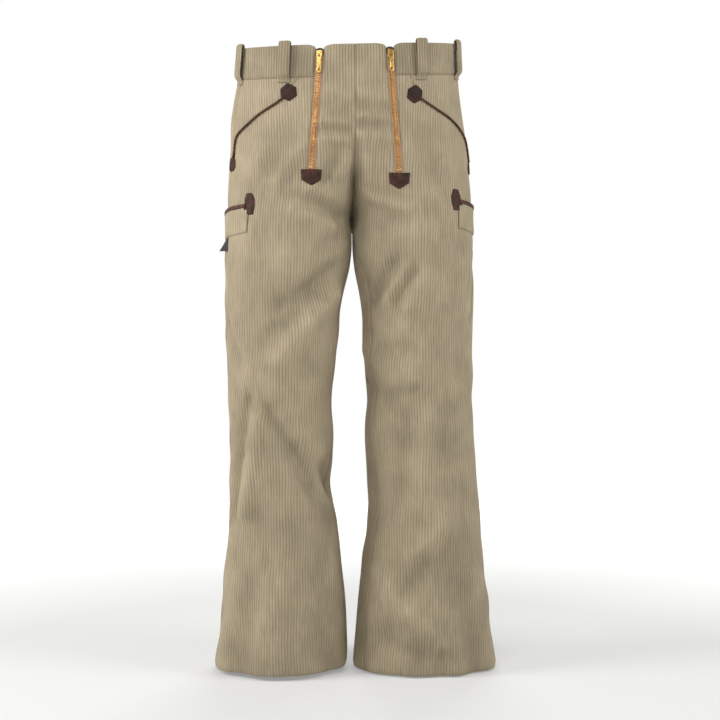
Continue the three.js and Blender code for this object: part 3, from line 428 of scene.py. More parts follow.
# A profile carried along a path: centre + across * u + out * v, closed round and capped at both ends.
def loftPiece(name, centres, across, out, profile, scale=None):
    rows, columns = len(centres), len(profile)
    scale = np.ones(rows) if scale is None else scale
    points = (centres[:, None] + across[:, None] * (profile[:, 0] * scale[:, None])[..., None]
              + out[:, None] * (profile[:, 1] * scale[:, None])[..., None])
    numbers = gridNumbers(rows, columns)
    numbers = np.concatenate([numbers, numbers[:, :1]], 1)
    first, last = rows * columns, rows * columns + 1
    capA = np.stack([np.full(columns, first), numbers[0, :-1], numbers[0, 1:]], -1)
    capB = np.stack([np.full(columns, last), numbers[-1, 1:], numbers[-1, :-1]], -1)
    triangles = np.concatenate([gridTriangles(numbers), capA, capB])
    points = np.concatenate([points.reshape(-1, 3), centres[:1], centres[-1:]])
    corners = points[triangles]
    if (corners[:, 0] * np.cross(corners[:, 1], corners[:, 2])).sum() < 0:
        triangles = triangles[:, ::-1]
    return meshPiece(name, points, triangles)


# Many copies of one small closed shape: corner = place + x * across + y * up + z * out.
def scatterPiece(name, shape, faces, places, across, up, out):
    points = (places[:, None] + across[:, None] * shape[None, :, :1] + up[:, None] * shape[None, :, 1:2]
              + out[:, None] * shape[None, :, 2:])
    shift = (np.arange(len(places)) * len(shape))[:, None, None]
    return meshPiece(name, points.reshape(-1, 3), (faces[None] + shift).reshape(-1, 3))


# colours and materials


def hexColour(text):
    value = np.array([int(text[i:i + 2], 16) for i in (1, 3, 5)]) / 255
    linear = np.where(value <= 0.04045, value / 12.92, ((value + 0.055) / 1.055) ** 2.4)
    return (*linear.tolist(), 1)


def addNode(tree, kind, inputs=None, **settings):
    made = tree.nodes.new(kind)
    for key, value in settings.items():
        setattr(made, key, value)
    for socket, value in (inputs or {}).items():
        if isinstance(value, bpy.types.NodeSocket):
            tree.links.new(value, made.inputs[socket])
        else:
            made.inputs[socket].default_value = value
    return made


# A material on the principled shader, with the values that are the same all over it.
def newMaterial(name, values):
    material = bpy.data.materials.new(name)
    material.use_nodes = True
    tree = material.node_tree
    shader = tree.nodes["Principled BSDF"]
    for socket, value in values.items():
        shader.inputs[socket].default_value = value
    return material, tree, shader


# ridge and groove colours: the darker groove is painted shade between the wales
cord = {"ridge": "#988b74", "groove": "#7e735d", "plain": "#7b705a", "pile": 0.35,
        # crease tone: darker in the folds' troughs, which is painted shade, and lighter on their ridges, which is worn
        # pile
        "patch": (0.3, 0.7, 0.85, 1.13), "worn": (-1, 1, 0.87, 1.13),
        "streak": (0.25, 0.75, 0.87, 1.1), "fibre": (0.25, 0.75, 0.9, 1.1)}  # from, to, darkest, lightest
nap = {"Roughness": 0.93, "IOR": 1.46, "Specular IOR Level": 0.25, "Sheen Weight": 0.3, "Sheen Roughness": 0.4,
       "Sheen Tint": hexColour("#e6dcc2")}


# Cut-pile cotton corduroy: light tops of the wales and dark grooves, whose darkness is painted shade, and a nap that
# lies unevenly.
def corduroyMaterial(name, tone=1.0):
    material, tree, shader = newMaterial(name, nap)
    rib, inside, worn = (addNode(tree, "ShaderNodeAttribute", attribute_name=key).outputs["Fac"]
                         for key in ("rib", "inside", "worn"))
    place = addNode(tree, "ShaderNodeAttribute", attribute_name="place").outputs["Vector"]
    spot = addNode(tree, "ShaderNodeTexCoord").outputs["Object"]
    streakPlace = addNode(tree, "ShaderNodeMapping", {"Vector": place, "Scale": (260, 26, 1)})  # 4 mm by 40 mm
    streak = addNode(tree, "ShaderNodeTexNoise", {"Vector": streakPlace.outputs[0], "Scale": 1.0, "Detail": 3.0})
    patch = addNode(tree, "ShaderNodeTexNoise", {"Vector": spot, "Scale": 17.0, "Detail": 4.0, "Roughness": 0.55})
    fibre = addNode(tree, "ShaderNodeTexNoise", {"Vector": spot, "Scale": 1300.0, "Detail": 2.0})  # 0.8 mm tufts
    # the lower the cloth stands on its wale, the darker: painted shade in the grooves, at seams and on the loops'
    # edges
    top = addNode(tree, "ShaderNodeMapRange", {"Value": rib, "From Min": 0.12, "From Max": 0.9})
    base = addNode(tree, "ShaderNodeMix", {0: top.outputs[0], 6: hexColour(cord["groove"]),
                                           7: hexColour(cord["ridge"])}, data_type="RGBA")
    weave = addNode(tree, "ShaderNodeMix", {0: inside, 6: base.outputs[2], 7: hexColour(cord["plain"])},
                    data_type="RGBA")
    product = tone
    # the crease tone paints shade into the folds' troughs and lightens their ridges as worn pile
    for key, source in (("patch", patch.outputs["Fac"]), ("worn", worn), ("streak", streak.outputs["Fac"]),
                        ("fibre", fibre.outputs["Fac"])):
        low, high, darkest, lightest = cord[key]
        share = addNode(tree, "ShaderNodeMapRange", {"Value": source, "From Min": low, "From Max": high,
                                                     "To Min": darkest, "To Max": lightest})
        product = addNode(tree, "ShaderNodeMath", {0: share.outputs[0], 1: product}, operation="MULTIPLY").outputs[0]
    tint = addNode(tree, "ShaderNodeVectorMath", {0: weave.outputs[2], "Scale": product}, operation="SCALE")
    bump = addNode(tree, "ShaderNodeBump", {"Height": fibre.outputs["Fac"], "Strength": cord["pile"],
                                            "Distance": 0.0006})
    tree.links.new(tint.outputs[0], shader.inputs["Base Color"])
    tree.links.new(bump.outputs[0], shader.inputs["Normal"])
    return material


hide = {"face": "#45291f", "dark": "#24140e", "worn": "#68493b", "smooth": 0.54, "rough": 0.78, "pore": 900.0}


# Vegetable-tanned cowhide, dyed dark brown: fine pores, a soft shine and lighter rubbed places.
def leatherMaterial(name, strength=1.0):
    material, tree, shader = newMaterial(name, {"Specular IOR Level": 0.2})
    spot = addNode(tree, "ShaderNodeTexCoord").outputs["Object"]
    tone = addNode(tree, "ShaderNodeTexNoise", {"Vector": spot, "Scale": 90.0, "Detail": 4.0})
    pore = addNode(tree, "ShaderNodeTexVoronoi", {"Vector": spot, "Scale": hide["pore"]})  # pores 1.1 mm apart
    wear = addNode(tree, "ShaderNodeTexNoise", {"Vector": spot, "Scale": 260.0, "Detail": 5.0, "Roughness": 0.65})
    ramp = addNode(tree, "ShaderNodeMapRange", {"Value": tone.outputs["Fac"], "From Min": 0.35, "From Max": 0.65})
    base = addNode(tree, "ShaderNodeMix", {0: ramp.outputs[0], 6: hexColour(hide["dark"]),
                                           7: hexColour(hide["face"])}, data_type="RGBA")
    # on the leather this lighter colour is rubbed wear alone
    rubbed = addNode(tree, "ShaderNodeMapRange", {"Value": wear.outputs["Fac"], "From Min": 0.6, "From Max": 0.8,
                                                  "To Max": 0.6})
    mixed = addNode(tree, "ShaderNodeMix", {0: rubbed.outputs[0], 6: base.outputs[2],
                                            7: hexColour(hide["worn"])}, data_type="RGBA")
    colour = addNode(tree, "ShaderNodeVectorMath", {0: mixed.outputs[2], "Scale": strength}, operation="SCALE")
    rough = addNode(tree, "ShaderNodeMapRange", {"Value": tone.outputs["Fac"], "To Min": hide["smooth"],
                                                 "To Max": hide["rough"]})
    bump = addNode(tree, "ShaderNodeBump", {"Height": pore.outputs["Distance"], "Strength": 0.35,
                                            "Distance": 0.0004})
    tree.links.new(colour.outputs[0], shader.inputs["Base Color"])
    tree.links.new(rough.outputs[0], shader.inputs["Roughness"])
    tree.links.new(bump.outputs[0], shader.inputs["Normal"])
    return material


metals = {
    "brass": {"face": "#d2b06c", "dull": "#7a5c28", "smooth": 0.26, "rough": 0.52},
    "copperZinc": {"face": "#dbb074", "dull": "#a97f4b", "smooth": 0.47, "rough": 0.73},
}


# Stamped and tumbled brass: warm, bright, with duller places where it has tarnished.
def metalMaterial(name, metal):
    material, tree, shader = newMaterial(name, {"Metallic": 1})
    spot = addNode(tree, "ShaderNodeTexCoord").outputs["Object"]
    tarnish = addNode(tree, "ShaderNodeTexNoise", {"Vector": spot, "Scale": 420.0, "Detail": 4.0})
    ramp = addNode(tree, "ShaderNodeMapRange", {"Value": tarnish.outputs["Fac"], "From Min": 0.35, "From Max": 0.7})
    colour = addNode(tree, "ShaderNodeMix", {0: ramp.outputs[0], 6: hexColour(metal["face"]),
                                             7: hexColour(metal["dull"])}, data_type="RGBA")
    rough = addNode(tree, "ShaderNodeMapRange", {"Value": tarnish.outputs["Fac"], "To Min": metal["smooth"],
                                                 "To Max": metal["rough"]})
    tree.links.new(colour.outputs[2], shader.inputs["Base Color"])
    tree.links.new(rough.outputs[0], shader.inputs["Roughness"])
    return material


# Woven cotton: a plain weave of threads, drawn coarser than the real 0.4 mm so that it shows.
def wovenMaterial(name, light, dark, thread=0.8, roughness=0.85):
    material, tree, shader = newMaterial(name, {"Roughness": roughness})
    place = addNode(tree, "ShaderNodeAttribute", attribute_name="place").outputs["Vector"]
    grid = addNode(tree, "ShaderNodeMapping", {"Vector": place, "Scale": (1000 / thread,) * 3})
    weft, warp = (addNode(tree, "ShaderNodeTexWave", {"Vector": grid.outputs[0], "Scale": 0.5}, bands_direction=way)
                  for way in "XY")
    cross = addNode(tree, "ShaderNodeMath", {0: weft.outputs["Fac"], 1: warp.outputs["Fac"]}, operation="MULTIPLY")
    colour = addNode(tree, "ShaderNodeMix", {0: cross.outputs[0], 6: hexColour(dark), 7: hexColour(light)},
                     data_type="RGBA")
    bump = addNode(tree, "ShaderNodeBump", {"Height": cross.outputs[0], "Strength": 0.5, "Distance": 0.0003})
    tree.links.new(colour.outputs[2], shader.inputs["Base Color"])
    tree.links.new(bump.outputs[0], shader.inputs["Normal"])
    return material


# Spun cotton thread: matt, a little uneven in tone.
def threadMaterial(name, light, dark):
    material, tree, shader = newMaterial(name, {"Roughness": 0.8})
    spot = addNode(tree, "ShaderNodeTexCoord").outputs["Object"]
    tone = addNode(tree, "ShaderNodeTexNoise", {"Vector": spot, "Scale": 700.0, "Detail": 2.0})
    colour = addNode(tree, "ShaderNodeMix", {0: tone.outputs["Fac"], 6: hexColour(dark), 7: hexColour(light)},
                     data_type="RGBA")
    tree.links.new(colour.outputs[2], shader.inputs["Base Color"])
    return material


corduroy = corduroyMaterial("cutPileCorduroy")
# the waistband and the belt loops get darker copies of the same corduroy: painted shade
bandCorduroyShaded = corduroyMaterial("cutPileCorduroyBandShaded", 0.86)
loopCorduroyShaded = corduroyMaterial("cutPileCorduroyLoopsShaded", 0.82)
leather = leatherMaterial("dyedCowhide")
darkLeather = leatherMaterial("dyedCowhideDark", 0.62)
pipeLeather = leatherMaterial("dyedCowhidePiping", 1.5)
brass = metalMaterial("tumbledBrass", metals["brass"])
copperZinc = metalMaterial("copperZincTeeth", metals["copperZinc"])
tapeCloth = wovenMaterial("wovenCottonTape", "#d3b59d", "#b4917a")
# dark brown cloth above each slider: painted shadow in the top of the slit
tapeShadow = wovenMaterial("wovenCottonTapeShadow", "#54392f", "#33211c")
tabCloth = wovenMaterial("wovenSatinTab", "#331a1e", "#180b0e", 0.7, 0.6)
seamThread = threadMaterial("cottonThread", "#b3a382", "#85775a")
darkThread = threadMaterial("waxedDarkThread", "#3b2c28", "#241a18")
print("materials made")


def dress(piece, material, slot, body, *nodes):
    piece.data.materials.append(material)
    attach(piece, body)
    if nodes:
        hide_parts(*nodes)
    return piece


# corduroy panels

wale = {"pitch": 4.8, "height": 0.75, "places": (-0.5, -0.27, 0, 0.27), "shape": (0, 0.84, 1, 0.84)}
seamRoll = {"depth": 1.3, "reach": 2.4}
flapSeam = {"share": 0.3, "reach": 8, "from": 150, "full": 200}  # the middle seam lies almost flat on the flap
straightEdge = 14  # mm over which the wales' sway fades out towards a seam
meeting = 8  # mm on both sides of the middle seam in which the cloth isn't drawn back sideways
wearAndShadeFull = 7  # mm of crease height at which the crease tone is full: worn lighter on a ridge, painted shade in a trough


# Places of the wales' points across a panel, and how high each stands on its wale.
def waleColumns(low, high):
    first, last = math.floor(low / wale["pitch"]) - 1, math.ceil(high / wale["pitch"]) + 1
    steps = np.arange(first, last + 1)[:, None]
    across = (steps + np.array(wale["places"])) * wale["pitch"]
    return across.ravel(), np.tile(wale["shape"], len(steps))


# A panel's grid: rows are levels, columns stand at fixed distances from the grain line, measured
# round the oval, so the wales run straight and the seams cut them off.
def panelGrid(side, levels, fromAngle, toAngle, grainAngle):
    ends = np.stack([fromAngle, toAngle, grainAngle])
    turns = ends.min(0)[:, None] + np.ptp(ends, axis=0)[:, None] * np.linspace(0, 1, 281)
    oval = ovalAt(side, levels[:, None])
    cos, sin = np.cos(np.radians(turns)), np.sin(np.radians(turns))
    x, y = oval["half"] * cos, np.where(sin > 0, oval["front"], oval["back"]) * sin
    steps = np.hypot(np.diff(x, axis=1), np.diff(y, axis=1))
    length = np.concatenate([np.zeros((len(levels), 1)), np.cumsum(steps, axis=1)], 1)
    at = [np.array([np.interp(a, t, s) for a, t, s in zip(row, turns, length)]) for row in ends]
    low, high = np.minimum(at[0], at[1]) - at[2], np.maximum(at[0], at[1]) - at[2]
    columns, ribs = waleColumns(low.min(), high.max())
    across = np.clip(columns[None], low[:, None], high[:, None])
    first = (columns[None] <= low[:, None]).sum(1) - 1
    last = (columns[None] < high[:, None]).sum(1)
    return {"place": length - at[2][:, None], "turns": turns, "low": low, "high": high, "across": across,
            "columns": columns, "ribs": ribs, "first": first, "last": last}


def angleOf(grid, across):
    return np.array([np.interp(a, p, t) for a, p, t in zip(across, grid["place"], grid["turns"])])


def placeOf(grid, angles):
    return np.array([np.interp(a, t, p) for a, p, t in zip(angles, grid["place"], grid["turns"])])


# Sideways sway of the wales: two slow waves down the cloth.
def sway(across, level):
    return 1.2 * np.sin(level * 0.021 + across * 0.013) + 0.7 * np.sin(level * 0.053 - across * 0.031 + 2)


zipCorner = {"wide": 19, "deep": 6.5, "fadesOver": 26}


# Rounded top corners beside the zips: a quarter of an ellipse.
def cornerDrop(toZip):
    t = 1 - np.clip(toZip / zipCorner["wide"], 0, 1)
    return zipCorner["deep"] * (1 - np.sqrt(1 - (0.995 * t) ** 2))


# Share of the pile that wear has left, from place to place.
def pileLeft(across, level):
    slow = np.sin(across * 0.061 + level * 0.017) * np.sin(level * 0.037 - across * 0.023)
    fine = np.sin(across * 1.309 / 1.7 + level * 0.11) * np.sin(level * 0.19 + across * 0.21)
    return 0.93 + 0.05 * slow + 0.04 * fine


# Wales at full height inside a piece and low at its edges, on cloth that wear has flattened in places. Through the rib
# colour the low edges are painted darker, as shade along the seams.
def waleHeights(ribs, edge, across, level, full=3):
    return ribs[None] * (0.25 + 0.75 * smooth(edge, -0.5, full)) * pileLeft(across, level)


def seamRollAt(edge):
    return seamRoll["depth"] * np.exp(-((np.maximum(edge, 0) / seamRoll["reach"]) ** 2))


# A wall of corduroy, with what its material reads: the wales, the grain's place, the wrong side, and the crease tone
# of worn ridges and painted shade in troughs.
def cordWall(name, outer, inner, ribs, across, level, numbers=None, skip=None, worn=None):
    across, level, ribs = np.broadcast_arrays(across, level, ribs)
    flat, place = np.zeros(across.shape), patternPlace(across, level)
    attributes = [("rib", ribs, flat), ("place", place, place), ("inside", flat, flat + 1)]
    if worn is not None:
        attributes.append(("worn", worn, flat))
    return wallPiece(name, outer, inner, attributes, numbers, skip)


def numbersBetween(count, first, last):
    return np.clip(np.arange(count)[None], first[:, None], last[:, None]) + np.arange(len(first))[:, None] * count


# Writes one corduroy panel. rise is its height above the face, slit the two edges and the end of a cut in it.
def cordPanel(name, side, levels, fromAngle, toAngle, grainAngle, slit=None, openFrom=None, wall=cloth["wall"],
              rise=0, hem=None, zipEnd=False, softEnd=False):
    grid = panelGrid(side, levels, fromAngle, toAngle, grainAngle)
    across, columns, first, last = (grid[key] for key in ("across", "columns", "first", "last"))
    low, high = grid["low"][:, None], grid["high"][:, None]
    numbers = numbersBetween(len(columns), first, last)
    skip = np.zeros((len(levels) - 1, len(columns) - 1), bool)
    edge = np.minimum(across - low, high - across)
    toZip = high - across if zipEnd else np.full(across.shape, 1e3)
    if slit is not None:
        near, far = placeOf(grid, slit[0])[:, None], placeOf(grid, slit[1])[:, None]
        cut = (levels > slit[2])[:, None]
        nearSide = columns[None] < (near + far) / 2
        nearStop = (columns[None] < near).sum(1)
        farStart = (columns[None] <= far).sum(1) - 1
        across = np.where(cut & nearSide, np.minimum(across, near), across)
        across = np.where(cut & ~nearSide, np.maximum(across, far), across)
        numbers = np.where(cut & nearSide, numbersBetween(len(columns), first, nearStop), numbers)
        numbers = np.where(cut & ~nearSide, numbersBetween(len(columns), farStart, last), numbers)
        toZip = np.where(nearSide, near - across, across - far)
        edge = np.where(cut, np.minimum(edge, toZip), edge)
        crosses = cut & (nearSide[:, :-1] & ~nearSide[:, 1:])
        skip |= crosses[:-1] | crosses[1:]
        skip |= ((levels[:-1] > openFrom + 0.01)[:, None]) & nearSide[:-1, :-1]
    angle = angleOf(grid, across + sway(across, levels[:, None]) * smooth(edge, 0, straightEdge))
    level = levels[:, None] - cornerDrop(toZip) * np.clip(1 + levels[:, None] / zipCorner["fadesOver"], 0, 1)
    edge = np.minimum(edge, levels[:, None] - hem + 0.6) if hem is not None else edge
    ribs = waleHeights(grid["ribs"], edge, across, level)
    roll = seamRollAt(edge)
    if softEnd:
        share = flapSeam["share"] + (1 - flapSeam["share"]) * smooth(-level, flapSeam["from"], flapSeam["full"])
        roll = np.where((high - across < flapSeam["reach"]) & (level < -3), roll * share, roll)
    face, normal = facePoint(side, angle, level), faceNormal(side, angle, level)
    meets = np.exp(-(((face[..., 0] - ovalAt(side, level)["middle"]) / meeting) ** 2)) * (level > crotchLevel)
    outwards = np.stack([normal[..., 0] * (1 - meets), normal[..., 1], normal[..., 2]], -1)
    outer = face + outwards * (rise + (ribs - 0.5) * wale["height"] - roll)[..., None]
    inner = face + normal * (rise - wall)
    # crease tone from the crease height: painted shade in the troughs, worn pile on the ridges
    worn = np.clip(creaseHeight(side, np.where(angle < -180, angle + 360, angle), level) / wearAndShadeFull, -1, 1)
    return cordWall(name, outer, inner, ribs, across, level, numbers, skip, worn)


zipPlan = {"top": -12, "bottom": -232, "topX": 58.7, "lean": 0.0636, "slit": 13.2, "tapeTop": -11,
           "tapeWidth": 28, "tapeLift": -3.1, "tapeWall": 1}
# the dark strip above each slider, which is painted shadow
tapeShadowSheet = {"top": -5.2, "foot": -16.4, "wider": 3, "lift": -2.4, "bulge": 0.9, "wall": 1, "bow": 0.05}
grainX = 112  # the grain line of each panel hangs this far from the middle
hipPiece = {"foot": -190, "grainX": 165}


def zipAngle(side, level, offset):
    return angleAtX(side, zipPlan["topX"] + zipPlan["lean"] * (zipPlan["top"] - level) + offset, level)


def panelLevels(side, top, rowHeight):
    seam = -band["height"] - cloth["seamGap"]
    upper = np.linspace(seam, zipPlan["bottom"], round((seam - zipPlan["bottom"]) / rowHeight) + 1)
    lower = np.linspace(zipPlan["bottom"], side["hem"], round((zipPlan["bottom"] - side["hem"]) / rowHeight) + 1)[1:]
    first = np.linspace(0, seam, 10)[:-1] if top else []
    return np.concatenate([first, upper, lower])


rowHeights = {"front": 6.2, "back": 7.8, "hip": 6.2}

for end, side in sides.items():
    levels = panelLevels(side, True, rowHeights["front"])
    edge = frontEdge(side, levels)
    lap = cloth["lap"] * degreesPerMm(side, edge, levels)
    zipLevel = np.maximum(levels, zipPlan["bottom"])
    slit = (zipAngle(side, zipLevel, zipPlan["slit"] / 2), zipAngle(side, zipLevel, -zipPlan["slit"] / 2),
            zipPlan["bottom"])
    panel = cordPanel("front_panel_" + end, side, levels, edge - lap, innerEdge(side, levels) + lap,
                      angleAtX(side, grainX, levels), slit, -band["height"] - cloth["seamGap"], hem=side["hem"],
                      softEnd=True)
    dress(panel, corduroy, "corduroy", "trousers", "front_" + end)

    levels = panelLevels(side, False, rowHeights["back"])
    seam = seamAngle(side, levels)
    lap = cloth["lap"] * degreesPerMm(side, seam, levels)
    inseam = np.where(levels > crotchLevel, -innerEdge(side, levels), innerEdge(side, levels) - 360)
    panel = cordPanel("back_panel_" + end, side, levels, seam + lap, inseam - lap,
                      -angleAtX(side, grainX, levels), hem=side["hem"])
    dress(panel, corduroy, "corduroy", "trousers", "back_" + end)

    top = -band["height"] - cloth["seamGap"]
    levels = np.linspace(top, hipPiece["foot"], round((top - hipPiece["foot"]) / rowHeights["hip"]) + 1)
    lap = cloth["lap"] * degreesPerMm(side, frontEdge(side, levels), levels)
    panel = cordPanel("hip_panel_" + end, side, levels, seamAngle(side, levels) - lap,
                      frontEdge(side, levels) + lap, angleAtX(side, hipPiece["grainX"], levels))
    dress(panel, corduroy, "corduroy", "trousers", "hip_" + end)
print("panels made")

# waistband: a folded strip, its edge turned over, a little thicker than the panels

bandLevels = np.linspace(0, -band["height"] + cloth["seamGap"] / 2, 12)
bandRise = band["wall"] - cloth["wall"]
bandSeams = {}

for end, side in sides.items():
    seam = seamAngle(side, bandLevels)
    gap = cloth["seamGap"] / 2 * degreesPerMm(side, seam, bandLevels)
    bandSeams[end] = seam - gap
    piece = cordPanel("band_front_" + end, side, bandLevels, seam + gap,
                      zipAngle(side, bandLevels, zipPlan["slit"] / 2), angleAtX(side, grainX, bandLevels),
                      wall=band["wall"], rise=bandRise, hem=-band["height"], zipEnd=True)
    dress(piece, bandCorduroyShaded, "corduroy", "trousers", "waistband_" + end)

# the back band is one piece round both halves: its columns are distances from the middle of the back
middle = np.full(len(bandLevels), -90.0)
grids = {name: panelGrid(side, bandLevels, bandSeams[name], middle, middle) for name, side in sides.items()}
reach = max(np.abs(grid["low"]).max() + np.abs(grid["high"]).max() for grid in grids.values())
columns, ribs = waleColumns(-reach, reach)
parts = []
for name, side in sides.items():
    grid = grids[name]
    chosen = columns < 0 if name == "right" else columns >= 0
    length = np.abs(grid["high"] - grid["low"])[:, None]
    limit = np.minimum(np.abs(columns[chosen])[None], length)
    distance = np.abs(grid["place"])
    order = np.argsort(distance[0])
    angle = np.array([np.interp(a, d[order], t[order]) for a, d, t in zip(limit, distance, grid["turns"])])
    level = np.broadcast_to(bandLevels[:, None], angle.shape)
    edge = np.minimum(length - limit, level + band["height"] + 0.6)
    parts.append((facePoint(side, angle, level), faceNormal(side, angle, level), edge, limit * side["sign"]))
face, normal, edge, across = (np.concatenate(pair, 1) for pair in zip(*parts))
level = bandLevels[:, None]
ribs = waleHeights(ribs, edge, across, level)
outer = face + normal * (bandRise + (ribs - 0.5) * wale["height"] - seamRollAt(edge))[..., None]
free = ~np.isclose(np.abs(across), np.abs(across).max(axis=1, keepdims=True))
count = across.shape[1]
numbers = numbersBetween(count, free.argmax(1) - 1, count - free[:, ::-1].argmax(1))
piece = cordWall("band_back", outer, face - normal * cloth["wall"], ribs, across, level, numbers)
dress(piece, bandCorduroyShaded, "corduroy", "trousers", "waistband_back")
print("waistband made")

# belt loops: a strip sewn below the band, standing off it, folded over above its edge and tucked down

belt = {"width": 20, "wall": 2.2, "standOff": 7.4, "rise": 7, "tuck": 12, "reachBelowBand": 8, "frontAngle": 53}
foot = bandRise + cloth["seat"]
off = foot + belt["standOff"]
onSeat = cloth["seat"] + belt["wall"] / 2
loopPath = {
    "lift": [onSeat, onSeat + 0.6, off - 1.5, off, off, off - 0.3, off - 1.6, (foot + off) / 2 + 0.2, foot + 1.2,
             foot + belt["wall"] / 2, foot + belt["wall"] / 2],
    "level": [-band["height"] - belt["reachBelowBand"], -band["height"] - 2, -band["height"] + 4,
              -band["height"] + 10, -22, belt["rise"] - 5, belt["rise"] - 2.2, belt["rise"] - belt["wall"] / 2,
              belt["rise"] - 3.6, -2, -belt["tuck"]],
}


# The strip's points: curves through the path's lifts and levels, across the width with four wales.
def beltLoop(name, side, centreAngle, node):
    knots = np.concatenate([[0], np.cumsum(np.hypot(np.diff(loopPath["lift"]), np.diff(loopPath["level"])))])
    t = np.linspace(0, knots[-1], 64)
    lift, level = curve(knots, loopPath["lift"], t), curve(knots, loopPath["level"], t)
    runLift, runLevel = np.gradient(lift), np.gradient(level)
    length = np.hypot(runLift, runLevel)
    runLift, runLevel = runLift / length, runLevel / length
    columns, ribs = waleColumns(-belt["width"] / 2, belt["width"] / 2)
    inside = np.abs(columns) < belt["width"] / 2 - 0.2
    across = np.concatenate([[-belt["width"] / 2], columns[inside], [belt["width"] / 2]])
    # the loops' low edges take the groove colour: painted shade along them
    ribs = np.concatenate([[0.1], ribs[inside], [0.1]])
    toEdge = belt["width"] / 2 - np.abs(across)
    toEnd = np.minimum(t, knots[-1] - t)
    rise = wale["height"] * (ribs * smooth(toEdge, 0, 2) - 0.5) - 0.8 * np.exp(-((toEdge / 1.2) ** 2))
    rise = rise - 0.35 * np.exp(-(((toEdge - 3) / 0.6) ** 2))
    rise = rise[None] * smooth(toEnd, 0, 1.5)[:, None]
    half = belt["wall"] / 2
    angle = centreAngle + across[None] * degreesPerMm(side, centreAngle, -band["height"] / 2)
    outer = bodyPoint(side, angle, (level - runLift * half)[:, None] - runLift[:, None] * rise,
                      (lift + runLevel * half)[:, None] + runLevel[:, None] * rise)
    inner = bodyPoint(side, angle, (level + runLift * half)[:, None] + 0 * rise,
                      (lift - runLevel * half)[:, None] + 0 * rise)
    piece = cordWall(name, outer, inner, ribs, across, t[:, None])
    dress(piece, loopCorduroyShaded, "corduroy", "trousers", node)


for end, side in sides.items():
    beltLoop("belt_loop_front_" + end, side, belt["frontAngle"], "loop_front_" + end)
    beltLoop("belt_loop_side_" + end, side, side["loopAngle"], "loop_side_" + end)
beltLoop("belt_loop_back", sides["right"], -90, "loop_back")
print("belt loops made")

# leather: patches with a rounded edge and a row of stitches sunk round it

patch = {"wall": 1.7, "edge": 1.5, "inset": 2.5, "groove": 0.35, "dome": 0.5}
patchShapes = {
    "mouth": {"down": [-16.5, -8, 8, 16.5], "from": [-1.5, -13.8, -13.8, -1.5], "to": [1.5, 13.8, 13.8, 1.5]},
    "side": {"down": [-12, -6, 6, 12], "from": [-6, -11, -11, -6], "to": [6, 11, 11, 6]},
    "zip": {"down": [0, 8, 17, 22, 26], "from": [-17.6, -17.8, -17.6, -9.5, -1.5],
            "to": [17.6, 17.8, 17.6, 9.5, 1.5]},
    "binding": {"down": [-18, -7, 4, 18], "from": [-5, -10.2, -10.6, -8], "to": [5, 10.2, 10.6, 7]},
}

stitch = {"length": 2.5, "gap": 0.9, "radius": 0.36, "sink": 0.1}
fromEdge = {"hem": 24, "band": 3, "zip": 5.2, "middleSeam": 4}  # mm between a row of stitches and its edge
stitches = {"seam": [], "dark": []}

# a stitch is a thread of five rings, sunk at both ends
stitchU = np.array([-0.5, -0.3, 0, 0.3, 0.5])
stitchR = np.array([0.35, 0.95, 1, 0.95, 0.35])[:, None]
stitchDrop = np.array([-0.55, -0.1, 0, -0.1, -0.55])[:, None]
ringAngles = np.linspace(0, 2 * np.pi, 5, endpoint=False)
stitchShape = np.stack([np.repeat(stitchU * stitch["length"], 5),
                        (stitchR * np.cos(ringAngles)).ravel() * stitch["radius"],
                        (stitchR * np.sin(ringAngles) + stitchDrop).ravel() * stitch["radius"]], -1)
ringNumbers = gridNumbers(5, 5)
stitchFaces = np.concatenate([gridTriangles(np.concatenate([ringNumbers, ringNumbers[:, :1]], 1))[:, ::-1],
                              [[0, 1, 2], [0, 2, 3], [0, 3, 4], [20, 22, 21], [20, 23, 22], [20, 24, 23]]])


# A row of stitches along a line of angles and levels on the cloth, each in the middle of its own step.
def stitchRow(side, angles, levels, lift, thread="seam"):
    levels = np.broadcast_to(np.asarray(levels, float), angles.shape)
    points = bodyPoint(side, angles, levels, np.broadcast_to(lift, angles.shape))
    span = np.concatenate([[0], np.cumsum(np.linalg.norm(np.diff(points, axis=0), axis=1))])
    pitch = stitch["length"] + stitch["gap"]
    count = max(int(span[-1] / pitch), 1)
    at = (np.arange(count) + 0.5) * span[-1] / count
    middle = np.stack([np.interp(at, span, points[:, k]) for k in range(3)], -1)
    ahead = np.stack([np.interp(at + 0.6, span, points[:, k]) for k in range(3)], -1)
    behind = np.stack([np.interp(at - 0.6, span, points[:, k]) for k in range(3)], -1)
    out = faceNormal(side, np.interp(at, span, angles), np.interp(at, span, levels))
    run = unit(ahead - behind)
    out = unit(out - run * (out * run).sum(-1, keepdims=True))
    stitches[thread].append((middle - out * stitch["sink"], run, np.cross(out, run), out))


# Distance from points to a closed outline: the least over its sides.
def outlineDistance(x, y, corners):
    least = np.full(x.shape, 1e9)
    for (ax, ay), (bx, by) in zip(corners, corners[1:] + corners[:1]):
        t = np.clip(((x - ax) * (bx - ax) + (y - ay) * (by - ay)) / ((bx - ax) ** 2 + (by - ay) ** 2), 0, 1)
        least = np.minimum(least, np.hypot(x - ax - t * (bx - ax), y - ay - t * (by - ay)))
    return least


# Place on the cloth for a distance across and down a patch that is turned about its middle.
def patchPlace(side, angle, level, turned, across, down):
    rate = degreesPerMm(side, angle, level)
    distance = side["sign"] * facePoint(side, angle, level)[..., 0]
    cos, sin = math.cos(math.radians(turned)), math.sin(math.radians(turned))
    levels = level - (across * sin + down * cos)
    return angleAtX(side, distance, levels) + (across * cos - down * sin) * rate, levels


